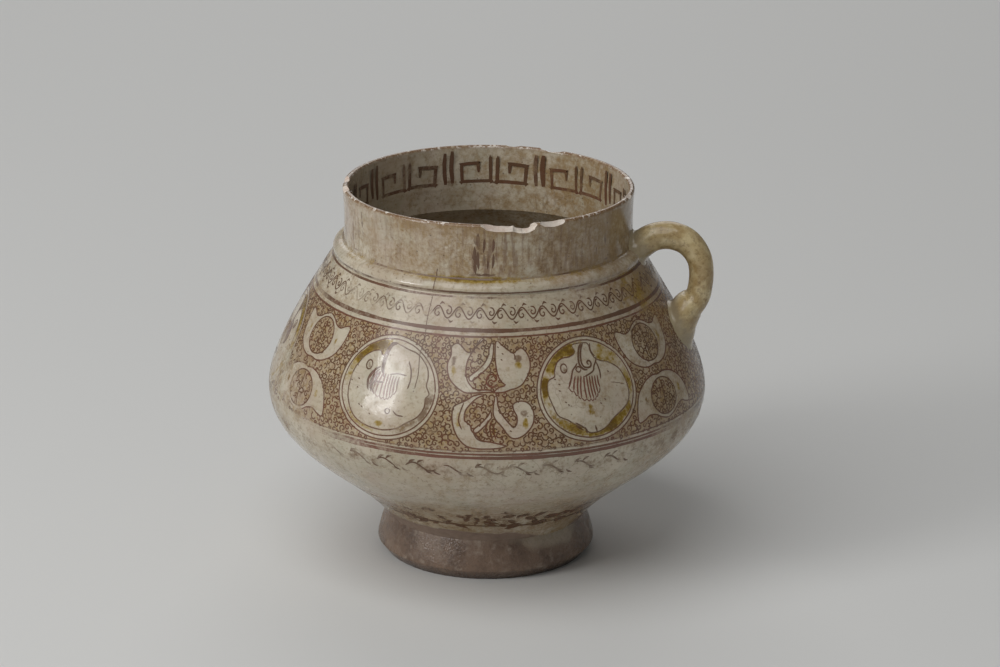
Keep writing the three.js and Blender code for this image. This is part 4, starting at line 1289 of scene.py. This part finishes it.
class JAR_OT_neck(bpy.types.Operator):
    """Make the straight neck with its chipped lip, and the roll of clay round its joint"""

    bl_idname = "jar.neck"
    bl_label = "Neck and Cordon"

    def execute(self, context):
        # The neck's stain includes painted shade on the side towards the handle
        glaze = glaze_material("stained and shaded cream glaze")
        lip = arc(neck_rim - (LIP_ROUND, 0), LIP_ROUND, 0, 180, 16)[1:]
        bend = [lip[-1], point(INNER_RADIUS, RIM_Z - 8), point(INNER_RADIUS, RIM_Z - 16)]
        inner = bezier(bend, 24)[1:]
        below = [point(INNER_RADIUS, z) for z in np.linspace(RIM_Z - 17, SEAT_Z, 10)]
        profile = np.vstack([NECK_OUTSIDE, lip, inner, below, NECK_OUTSIDE[:1]])
        collar = turned_piece("neck_collar_uncut", profile, glaze)
        neck = self.chip(collar, context.scene.jar_sizes)
        weather(neck)
        finish_piece(neck, "body_glaze", "neck")
        back = roll_high[0] - 0.2
        profile = np.vstack([ROLL, [point(back, roll_high[1]), point(back, SEAT_Z)], ROLL[:1]])
        cordon = turned_piece("cordon_roll", profile, glaze)
        weather(cordon)
        finish_piece(cordon, "body_glaze", "neck_cordon")
        return {"FINISHED"}

    def chip(self, collar, sizes):
        """Breaks the chips out of the lip and shows the clay in them."""
        shades = [linear(code) for code in ("#d8cdc0", "#b48f7d", "#f1ece4")]
        clay = clay_material("broken fritware", *shades, 0.8)
        tools = [self.chip_tool(number, *chip, sizes, clay) for number, chip in enumerate(CHIPS)]
        for tool in tools:
            cut = collar.modifiers.new("chip", "BOOLEAN")
            cut.operation = "DIFFERENCE"
            cut.solver = "MANIFOLD"
            cut.material_mode = "TRANSFER"
            cut.object = tool
        evaluated = collar.evaluated_get(bpy.context.evaluated_depsgraph_get())
        mesh = bpy.data.meshes.new_from_object(evaluated)
        mesh.set_sharp_from_angle(angle=math.radians(35))
        mesh.name = "neck_collar"
        neck = new_object("neck_collar", mesh)
        for used in [collar, *tools]:
            bpy.data.objects.remove(used)
        return neck

    def chip_tool(self, number, degrees, long, deep, sizes, clay):
        """A rough ball that breaks one chip out of the lip."""
        half = (NECK_WALL, sizes.chip_length / MM * long / 2, sizes.chip_depth / MM * deep, 1)
        tilt = Matrix.Rotation(math.radians(CHIP_TILT), 4, "Y")
        out = Matrix.Translation((NECK_RADIUS - 0.1, 0, RIM_Z))
        turn = Matrix.Rotation(math.radians(degrees), 4, "Z")
        place = Matrix.Translation((AXIS_X, 0, 0)) @ turn @ out @ tilt @ Matrix.Diagonal(half)
        points, faces = self.ball(40, 24)
        rough = []
        for p in points:
            coarse = noise.noise(p * 3 + Vector((number * 7, 0, 0)))
            fine = noise.noise(p * 9 + Vector((0, number * 5, 0)))
            rough.append(place @ (p * (1 + 0.09 * coarse + 0.035 * fine)))
        tool = make_mesh("chip_tool", rough, faces=faces)
        tool.data.materials.append(clay)
        return tool

    def ball(self, around, rows):
        """A ball's points and faces, with its poles up and down."""
        points = [Vector((0, 0, 1))]
        for row in range(1, rows):
            tip = math.pi * row / rows
            for side in range(around):
                turn = math.tau * side / around
                level = Vector((math.cos(turn), math.sin(turn), 0)) * math.sin(tip)
                points.append(level + Vector((0, 0, math.cos(tip))))
        points.append(Vector((0, 0, -1)))
        faces = []
        last = len(points) - 1
        for side in range(around):
            after = (side + 1) % around
            faces.append((0, 1 + side, 1 + after))
            for row in range(rows - 2):
                a, b = 1 + row * around + side, 1 + row * around + after
                faces.append((a, a + around, b + around, b))
            low = 1 + (rows - 2) * around
            faces.append((low + side, last, low + after))
        return points, faces


# The handle strand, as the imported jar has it: shares of its reach, rise and thickness
HANDLE = {"strand": 10.0, "reach": 25.1, "rise": 8.4, "root_drop": 36.7}
LOOP_STATIONS = [
    {"out": -0.2, "up": -0.16, "thick": 1.16, "wide": 1.5},
    {"out": 0.065, "up": 0.42, "thick": 1.08, "wide": 1.25},
    {"out": 0.29, "up": 0.88, "thick": 1.03, "wide": 1.06},
    {"out": 0.54, "up": 1, "thick": 1.03, "wide": 1.03},
    {"out": 0.785, "up": 0.74, "thick": 1, "wide": 1.02},
    {"out": 0.95, "up": 0.12, "thick": 0.94, "wide": 1.02},
    {"out": 1, "up": -0.62, "thick": 0.91, "wide": 1.02},
]
ROOT_STATIONS = [
    {"drop": 0.33, "off": 1.4, "thick": 0.92, "wide": 1.08},
    {"drop": 0.42, "off": 1.06, "thick": 0.98, "wide": 1.3},
    {"drop": 0.51, "off": 0.58, "thick": 1.18, "wide": 1.72},
    {"drop": 0.66, "off": 0.06, "thick": 1.2, "wide": 1.8},
    {"drop": 0.82, "off": -0.25, "thick": 1, "wide": 1.4},
    {"drop": 1, "off": -0.6, "thick": 0.5, "wide": 0.6},
]


def handle_knots():
    """The middle of the strand and its two half sizes at each station."""
    half = HANDLE["strand"] / 2
    knots = []
    for s in LOOP_STATIONS:
        r = NECK_RADIUS + HANDLE["reach"] * s["out"]
        knots.append([r, SEAT_Z + HANDLE["rise"] * s["up"], half * s["thick"], half * s["wide"]])
    for s in ROOT_STATIONS:
        z = SEAT_Z - HANDLE["root_drop"] * s["drop"]
        r = np.interp(z, SHOULDER[:, 1], SHOULDER[:, 0]) + HANDLE["strand"] * s["off"]
        knots.append([r, z, half * s["thick"], half * s["wide"]])
    return knots


def stand_off(points, line):
    """How far points in (radius, z) stand off a rising line, its outward way and nearest place."""
    start = line[:-1]
    run = np.diff(line, axis=0)
    long = (run**2).sum(axis=1)
    gap = points[:, None, :] - start[None]
    t = np.clip((gap * run).sum(axis=2) / long, 0, 1)
    nearest = start + t[..., None] * run
    away = points[:, None, :] - nearest
    distance = np.linalg.norm(away, axis=2)
    pick = distance.argmin(axis=1)
    rows = np.arange(len(points))
    outward = np.column_stack([run[:, 1], -run[:, 0]]) / np.sqrt(long)[:, None]
    outward = outward[pick]
    side = np.sign((away[rows, pick] * outward).sum(axis=1))
    return distance[rows, pick] * side, outward, nearest[rows, pick]


class JAR_OT_handle(bpy.types.Operator):
    """Make the looped handle and smear its roots on to the jar"""

    bl_idname = "jar.handle"
    bl_label = "Handle"

    def execute(self, context):
        sizes = context.scene.jar_sizes
        sides = 72
        line = spline(handle_knots(), 14)
        along = np.gradient(line[:, :2], axis=0)
        along /= np.linalg.norm(along, axis=1)[:, None]
        turn = np.linspace(0, math.tau, sides, endpoint=False)
        across = np.cos(turn)[None, :] * (line[:, 2:3] - PAINT_ROOM)
        points = np.empty((len(line), sides, 3))
        points[..., 0] = line[:, 0:1] - along[:, 1:2] * across
        points[..., 1] = np.sin(turn)[None, :] * (line[:, 3:4] - PAINT_ROOM)
        points[..., 2] = line[:, 1:2] + along[:, 0:1] * across
        centres = np.column_stack([line[:, 0], np.zeros(len(line)), line[:, 1]])
        middle = np.repeat(centres, sides, axis=0)
        points, off = self.smear(points.reshape(-1, 3), middle, sizes.root_fillet / MM)
        faces = []
        for ring in range(len(line) - 1):
            for side in range(sides):
                a = ring * sides + side
                b = ring * sides + (side + 1) % sides
                faces.append((a, b, b + sides, a + sides))
        last = (len(line) - 1) * sides
        faces.append(tuple(range(sides))[::-1])
        faces.append(tuple(range(last, last + sides)))
        piece = make_mesh("handle_strand", points + (AXIS_X, 0, 0), faces=faces)
        piece.data.shade_smooth()
        piece.data.materials.append(handle_material("yellow lustre glaze"))
        mark(piece, "root", 1 - smooth_step(off, 0.5, 8))
        finish_piece(piece, "handle_glaze", "handle")
        return {"FINISHED"}

    def smear(self, points, middle, fillet):
        """Spreads the strand where it meets the jar, and ends it a little under the surface."""
        bury = 0.6
        radius = np.hypot(points[:, 0], points[:, 1])
        pressed_on = np.vstack([OUTLINE, NECK_OUTLINE[1:-4]])
        off, outward, nearest = stand_off(np.column_stack([radius, points[:, 2]]), pressed_on)
        unit = points[:, :2] / radius[:, None]
        normal = np.column_stack([unit * outward[:, 0:1], outward[:, 1]])
        away = points - middle
        away -= (away * normal).sum(axis=1)[:, None] * normal
        away /= np.maximum(np.linalg.norm(away, axis=1), 1e-6)[:, None]
        rise = np.clip(off, 0, fillet)
        spread = fillet - np.sqrt(fillet**2 - (fillet - rise) ** 2)
        spread *= np.where(off < fillet, 1, 0)
        points = points + away * spread[:, None]
        radius = np.hypot(points[:, 0], points[:, 1])
        off, outward, nearest = stand_off(np.column_stack([radius, points[:, 2]]), pressed_on)
        deep = off < -bury
        unit = points[:, :2] / radius[:, None]
        sunk = nearest - bury * outward
        points[deep, :2] = (unit * sunk[:, 0:1])[deep]
        points[deep, 2] = sunk[deep, 1]
        return points, off


class JAR_OT_frieze(bpy.types.Operator):
    """Paint the frieze of birds and leaves, and fill its ground with curls"""

    bl_idname = "jar.frieze"
    bl_label = "Painted Frieze"

    def execute(self, context):
        paint = lustre_material("brown lustre")
        drawing = Drawing()
        for motif, degrees, side in CELLS:
            self.paint_motif(drawing, motif, math.radians(degrees) * WRAP_RADIUS, side)
        drawing.lay("frieze_drawing", OUTLINE, paint)
        self.scrolls(context.scene.brush_sizes, paint)
        return {"FINISHED"}

    def paint_motif(self, drawing, motif, middle, side):
        """Draws the lines of one motif in its place."""

        def placed(knots):
            return [(middle + side * u, FRIEZE_MIDDLE + v) for u, v in knots]

        for shape in motif.get("shapes", []):
            drawing.stroke(placed(shape), 0.26, 0.8, 0.35)
        for half_u, half_v in motif.get("rings", []):
            drawing.stroke(placed(ring_points(0, 0, half_u, half_v, 32)), 0.25, 0.7, 0.3)
        if "body" in motif:
            drawing.stroke(placed(motif["body"]), 0.24, 0.62, 0.1)
            drawing.stroke(placed(ring_points(*motif["eye"], 12)), 0.28, 0.9)
            self.feathers(drawing, placed, motif["feathers"])
        for half_width, red, knots in motif["lines"]:
            drawing.stroke(placed(knots), half_width, 0.9, red)
        for u, v in motif.get("dots", []):
            drawing.stroke(placed([(u - 0.35, v + 0.2), (u, v), (u + 0.35, v - 0.2)]), 0.42, 0.8)

    def feathers(self, drawing, placed, tone):
        """Draws the fan of the wing with a scalloped edge."""
        tops = np.linspace(*FEATHER_TOPS, len(FEATHER_FEET))
        for (top_u, top_v), (foot_u, foot_v) in zip(tops, FEATHER_FEET):
            bulge = (top_u + foot_u) / 2 + 0.25 * np.sign(foot_u - top_u), (top_v + foot_v) / 2
            drawing.stroke(placed([(top_u, top_v), bulge, (foot_u, foot_v)]), 0.3, tone, 0.8)
        for (a, b), (c, d) in zip(FEATHER_FEET, FEATHER_FEET[1:]):
            drawing.stroke(placed([(a, b), ((a + c) / 2, (b + d) / 2 - 0.9), (c, d)]), 0.22, tone, 0.6)

    def scrolls(self, brush, paint):
        """Fills the ground that the motifs leave with curls."""
        free = FRIEZE.room > 0.6
        corner = free[:-1] & free[1:]
        cells = corner & np.roll(corner, -1, 1)
        cells[:, -1] = False
        columns = FRIEZE.columns
        x, y = np.meshgrid(FRIEZE.x, FRIEZE.y)
        points = np.column_stack([x.ravel(), y.ravel(), np.zeros(x.size)])
        low, left = np.nonzero(cells)
        first = low * columns + left
        faces = np.column_stack([first, first + 1, first + columns + 1, first + columns]).tolist()
        ground = make_mesh("ground_flat", points, faces=faces)
        mark(ground, "room", (FRIEZE.room * MM).ravel())
        curls = {"Spacing": brush.curl_spacing, "Curl Radius": brush.curl_radius}
        curls |= {"Curl Line": brush.curl_line, "Seed": brush.curl_seed}
        lay_on("frieze_scrolls", ground, scroll_tree(), OUTLINE, paint, extra=curls)


def starts_round(count, radius=WRAP_RADIUS, shift=0.0):
    """Where each of a number of equal parts of a turn begins, laid out flat."""
    return [((n + shift) / count - 0.5) * math.tau * radius for n in range(count)]


class JAR_OT_bands(bpy.types.Operator):
    """Paint the lines round the jar, the tendril on its shoulder and the worn strokes below"""

    bl_idname = "jar.bands"
    bl_label = "Painted Bands"

    def execute(self, context):
        paint = lustre_material("brown lustre lines")
        lines = Drawing()
        around = BAND_ANGLES
        lines.band(109.2, 0.34, 0.75 + 0.2 * wobble(around, 31), 2, red=0.5)
        tone = 0.6 + 0.2 * wobble(around, 32) + 0.2 * near_angle(around, -52, 70)
        lines.band(111.6, 0.7, tone, 3, red=0.2)
        lines.band(68.8, 0.2, 0.6 + 0.2 * wobble(around, 33), 4, red=0.2)
        tone = 0.5 + 0.15 * wobble(around, 34) + 0.32 * near_angle(around, -62, 66)
        lines.band(67.4, 0.4, tone, 5, red=0.45)
        lines.band(66.1, 0.62, tone * 0.95, 5, red=0.55)
        lines.band(OUTLINE_LENGTH - 0.9, 0.42, 0.55 + 0.3 * wobble(around, 35), 6, red=0.1)
        lines.band(11, 0.6, 0.8 + 0.25 * wobble(around, 36), 7, drift=1.4)
        crack = [(-135.4, 89), (-135, 95), (-135.7, 101), (-135.1, 108), (-135.5, 115), (-135.1, 123)]
        lines.stroke(crack, 0.17, 1)
        lines.lay("line_bands", OUTLINE, paint)
        self.tendril(paint)
        self.low_strokes(paint)
        self.neck_strokes(paint)
        self.mouth_fret(paint)
        return {"FINISHED"}

    def tendril(self, paint):
        """A wavy stem round the shoulder, with a curl and a leaf in each bend."""
        drawing = Drawing()
        random = np.random.default_rng(41)
        middle, swing = 117.5, 2.1
        waves = 50
        wave = math.tau * WRAP_RADIUS / waves
        turns = np.linspace(0, 1.25 * math.tau, 12)
        for start in starts_round(waves):
            tone = float(np.clip(0.7 + 0.3 * wobble(start / WRAP_RADIUS, 42), 0.3, 1))
            steps = np.linspace(0, 1.04, 10)
            stem = [(start + s * wave, middle + swing * math.sin(math.tau * s)) for s in steps]
            drawing.stroke(stem, 0.29, tone, blunt=0.8)
            for s, up in ((0.25, 1), (0.75, -1)):
                x = start + s * wave + random.uniform(-0.3, 0.3)
                y = middle - up * 0.5
                reach = 1.85 - 0.22 * turns
                across, rise = reach * np.cos(turns + 1.2), reach * np.sin(turns + 1.2)
                curl = np.column_stack([x + up * across, y + rise])
                drawing.stroke(curl, 0.3, tone * random.uniform(0.8, 1.05))
                leaf = [(x + u, middle + up * v) for u, v in ((0.4, 2.5), (1.4, 3.4), (2.6, 2.9))]
                drawing.stroke(leaf, 0.45, tone * random.uniform(0.7, 1.05), blunt=0.2)
        drawing.lay("tendril_band", OUTLINE, paint)

    def low_strokes(self, paint):
        """A worn leafy stem under the belly, and dark dabs above the foot."""
        drawing = Drawing()
        random = np.random.default_rng(43)
        middle, swing = 61.2, 1.5
        waves, dabs = 42, 170
        wave = math.tau * WRAP_RADIUS / waves
        for start in starts_round(waves):
            worn = 0.42 + 0.34 * wobble(start / WRAP_RADIUS, 46, (2, 3, 7, 11, 19))
            worn += 0.3 * near_angle(start / WRAP_RADIUS, -55, 34)
            steps = np.linspace(random.uniform(0, 0.2), random.uniform(0.6, 0.98), 8)
            stem = [(start + s * wave, middle + swing * math.sin(math.tau * s)) for s in steps]
            drawing.stroke(stem, 0.32, float(np.clip(worn, 0.1, 0.8)))
            for s, up in ((0.1, 1), (0.36, 1), (0.6, -1), (0.86, -1)):
                x = start + s * wave
                y = middle + swing * math.sin(math.tau * s)
                leaf = [(x, y + up * 0.2), (x + 0.9, y + up * 1.2), (x + 2.3, y + up * 1.7)]
                tone = float(np.clip(worn * random.uniform(0.6, 1.2), 0.1, 0.75))
                drawing.stroke(leaf, 0.55, tone, blunt=0.2)
        for start in starts_round(dabs):
            slant = 10.5 + 16 * random.random() ** 1.6
            stretch = WRAP_RADIUS / at_length(OUTLINE, [slant])[0, 0]
            x = start + random.uniform(-4, 4)
            half = random.uniform(1.1, 3) * stretch
            lift = random.uniform(-1.2, 1.2)
            thick = 0.9 + 0.3 * wobble(x / WRAP_RADIUS, 47, (3, 5, 8))
            tone = float(np.clip(thick + random.normal(0, 0.1) - 0.03 * (slant - 10), 0.2, 1))
            for row in (-1, 0, 1):
                y = slant + 1.1 * row + random.uniform(-0.2, 0.2)
                left, right = x - half * random.uniform(0.6, 1.1), x + half * random.uniform(0.6, 1.1)
                dab = [(left, y - lift), (x, y + random.uniform(-0.3, 0.4)), (right, y + lift)]
                drawing.stroke(dab, random.uniform(0.6, 0.9), tone * random.uniform(0.85, 1.05), 0.1)
        drawing.lay("low_strokes", OUTLINE, paint)

    def neck_strokes(self, paint):
        """The lines over and under the roll of clay, and faint upright strokes on the neck."""
        drawing = Drawing()
        random = np.random.default_rng(44)
        over = run_lengths(ROLL)[-1]
        radius = NECK_RADIUS
        drawing.band(0.8, 0.34, 0.6 + 0.3 * wobble(BAND_ANGLES, 51), 52, radius=radius)
        drawing.band(over, 0.42, 0.5 + 0.25 * wobble(BAND_ANGLES, 53), 54, radius=radius)
        groups = ((-200, 0.44), (-145, 0.36), (-84, 0.64), (-30, 0.34), (25, 0.4), (80, 0.5), (125, 0.4))
        for degrees, tone in groups:
            for gap in (-4, -2.6, -1.3, 0.4, 1.9, 3.7):
                x = math.radians(degrees) * radius + gap + random.uniform(-0.3, 0.3)
                foot = over + random.uniform(0.5, 5)
                top = over + random.uniform(9, 18)
                lean = random.uniform(-0.5, 0.5)
                split = random.uniform(0.25, 0.8)
                for low, high in ((0, split), (split + 0.04, 1)):
                    low, high = foot + (top - foot) * low, foot + (top - foot) * high
                    part = [(x, low), (x + lean, (low + high) / 2), (x + lean, high)]
                    width, strength = random.uniform(0.35, 0.7), random.uniform(0.6, 1.25)
                    drawing.stroke(part, width, tone * strength, blunt=0.2)
                end = x + random.uniform(0.8, 2.2), over + random.uniform(1.3, 2.6)
                dash = [(x - 0.9, over + 1.6), end]
                drawing.stroke(dash, random.uniform(0.4, 0.7), tone * random.uniform(0.7, 1.3), blunt=0.2)
        x = math.radians(-102) * radius
        drawing.stroke([(x, 0.2), (x + 0.3, 3), (x - 0.1, over), (x + 0.2, over + 3)], 0.16, 1)
        drawing.lay("neck_strokes", NECK_OUTLINE, paint, radius)

    def mouth_fret(self, paint):
        """A key fret inside the neck: square hooks that face each other between pairs of bars."""
        drawing = Drawing()
        random = np.random.default_rng(45)
        radius = INNER_RADIUS
        hook = [
            (11, 4.6), (11, 4.6), (11.2, 13.8), (11.2, 13.8), (0.4, 14), (0.4, 14), (0, 7.2), (0, 7.2),
            (6.4, 6.8), (6.4, 6.8), (6.6, 10.4),
        ]
        groups = 9
        for start in starts_round(groups, radius, 0.35):
            for gap in (0, 3):
                x = start + gap + random.uniform(-0.3, 0.3)
                bar = [(x, random.uniform(1.4, 2.6)), (x + 0.3, 8), (x - 0.2, random.uniform(13.6, 15.4))]
                drawing.stroke(bar, random.uniform(0.75, 1.05), random.uniform(0.55, 0.85), 0.15, blunt=0.7)
            for side, aside in ((1, 6.6), (-1, 31.4)):
                drop = random.uniform(-0.5, 0.5)
                drawn = [(start + aside + side * u, v + drop) for u, v in hook]
                drawing.stroke(drawn, random.uniform(0.6, 0.8), random.uniform(0.5, 0.85), 0.15, blunt=0.6)
        drawing.lay("mouth_fret", MOUTH_OUTLINE, paint, radius)


class StageSettings(bpy.types.PropertyGroup):
    floor: shade("Floor", "The plain pale floor and backdrop", "#d6d6d4")
    left_power: FloatProperty(name="Left Light", description="Power of the soft box on the left", default=8)
    top_power: FloatProperty(name="Top Light", description="Power of the soft box overhead", default=25)
    back_power: FloatProperty(name="Back Light", description="Power of the light behind", default=9)
    sky: FloatProperty(name="Sky", description="Strength of the light from all round", default=0.12)


# The camera: where it looks, how far off it stands, and how it is turned
CAMERA = {"look_z": 82.4, "distance": 1400.0, "elevation": 18.4, "turn": -82.0, "yaw": 0.19, "roll": 0.5}
FOCAL_PIXELS = 3798.0
IMAGE_WIDTH = 1000
SENSOR_WIDTH = 36.0
# Where the soft boxes point, in metres
LIGHTS_AIM = Vector((0, 0, 0.07))


def turned_pair(first, second, degrees):
    """Two perpendicular directions turned together in their plane."""
    angle = math.radians(degrees)
    return (
        first * math.cos(angle) + second * math.sin(angle),
        second * math.cos(angle) - first * math.sin(angle),
    )


class JAR_OT_stage(bpy.types.Operator):
    """Set the pale floor, the soft lights and the camera"""

    bl_idname = "jar.stage"
    bl_label = "Stage"

    def execute(self, context):
        self.camera(context)
        self.floor(context)
        self.lights(context)
        context.scene.view_settings.view_transform = "Standard"
        return {"FINISHED"}

    def camera(self, context):
        lens = bpy.data.cameras.new("camera")
        lens.sensor_width = SENSOR_WIDTH
        lens.lens = FOCAL_PIXELS / IMAGE_WIDTH * SENSOR_WIDTH
        lens.clip_end = 20
        turn, elevation = math.radians(CAMERA["turn"]), math.radians(CAMERA["elevation"])
        out = Vector((math.cos(turn), math.sin(turn), 0))
        right = Vector((-math.sin(turn), math.cos(turn), 0))
        reach = out * math.cos(elevation) + Vector((0, 0, math.sin(elevation)))
        place = (Vector((AXIS_X, 0, CAMERA["look_z"])) + CAMERA["distance"] * reach) * MM
        ahead = -reach
        up = right.cross(ahead)
        ahead, right = turned_pair(ahead, right, CAMERA["yaw"])
        right, up = turned_pair(right, up, CAMERA["roll"])
        camera = new_object("camera", lens)
        facing = Matrix((right, up, -ahead)).transposed().to_4x4()
        camera.matrix_world = Matrix.Translation(place) @ facing
        context.scene.camera = camera

    def floor(self, context):
        half = 4000
        corners = [(-half, -half, 0), (half, -half, 0), (half, half, 0), (-half, half, 0)]
        floor = make_mesh("floor", corners, faces=[(0, 1, 2, 3)])
        material, _, shader = new_material("matt paper floor")
        shader.inputs["Base Color"].default_value = context.scene.stage_settings.floor
        shader.inputs["Roughness"].default_value = 0.9
        floor.data.materials.append(material)

    def lights(self, context):
        settings = context.scene.stage_settings
        self.area("left_box", (-1.215, -0.977, 0.75), (0.5, 0.55), settings.left_power)
        self.area("top_box", (-0.6, -0.95, 1.77), (2.1, 1.9), settings.top_power)
        self.area("back_box", (-0.28, 1.6, 1.2), (1.5, 1.5), settings.back_power)
        world = bpy.data.worlds.new("studio")
        world.use_nodes = True
        background = world.node_tree.nodes["Background"].inputs
        background["Color"].default_value = (1, 1, 1, 1)
        background["Strength"].default_value = settings.sky
        context.scene.world = world

    def area(self, name, place, width_height, power):
        lamp = bpy.data.lights.new(name, "AREA")
        lamp.shape = "RECTANGLE"
        lamp.size, lamp.size_y = width_height
        lamp.energy = power
        light = new_object(name, lamp)
        aim = LIGHTS_AIM - Vector(place)
        light.matrix_world = Matrix.Translation(place) @ aim.to_track_quat("-Z", "Y").to_matrix().to_4x4()


class JAR_PT_panel(bpy.types.Panel):
    """Lists the steps that build the jar"""

    bl_label = "Lustre Jar"
    bl_idname = "JAR_PT_panel"
    bl_space_type = "VIEW_3D"
    bl_region_type = "UI"
    bl_category = "Lustre Jar"

    def draw(self, context):
        for group in SETTINGS:
            settings = getattr(context.scene, group)
            for name in settings.__annotations__:
                self.layout.prop(settings, name)
        for step in STEPS:
            self.layout.operator(step.bl_idname)


SETTINGS = {
    "jar_sizes": JarSizes,
    "brush_sizes": BrushSizes,
    "finish_colours": FinishColours,
    "stage_settings": StageSettings,
}
STEPS = [JAR_OT_foot, JAR_OT_bowls, JAR_OT_neck, JAR_OT_handle, JAR_OT_frieze, JAR_OT_bands, JAR_OT_stage]


def register():
    for item in [*SETTINGS.values(), *STEPS, JAR_PT_panel]:
        bpy.utils.register_class(item)
    for name, group in SETTINGS.items():
        setattr(bpy.types.Scene, name, PointerProperty(type=group))


def unregister():
    for name in SETTINGS:
        delattr(bpy.types.Scene, name)
    for item in reversed([*SETTINGS.values(), *STEPS, JAR_PT_panel]):
        bpy.utils.unregister_class(item)


def main():
    register()
    bpy.ops.jar.foot()
    bpy.ops.jar.bowls()
    bpy.ops.jar.neck()
    bpy.ops.jar.handle()
    bpy.ops.jar.frieze()
    bpy.ops.jar.bands()
    bpy.ops.jar.stage()


if __name__ == "__main__":
    main()
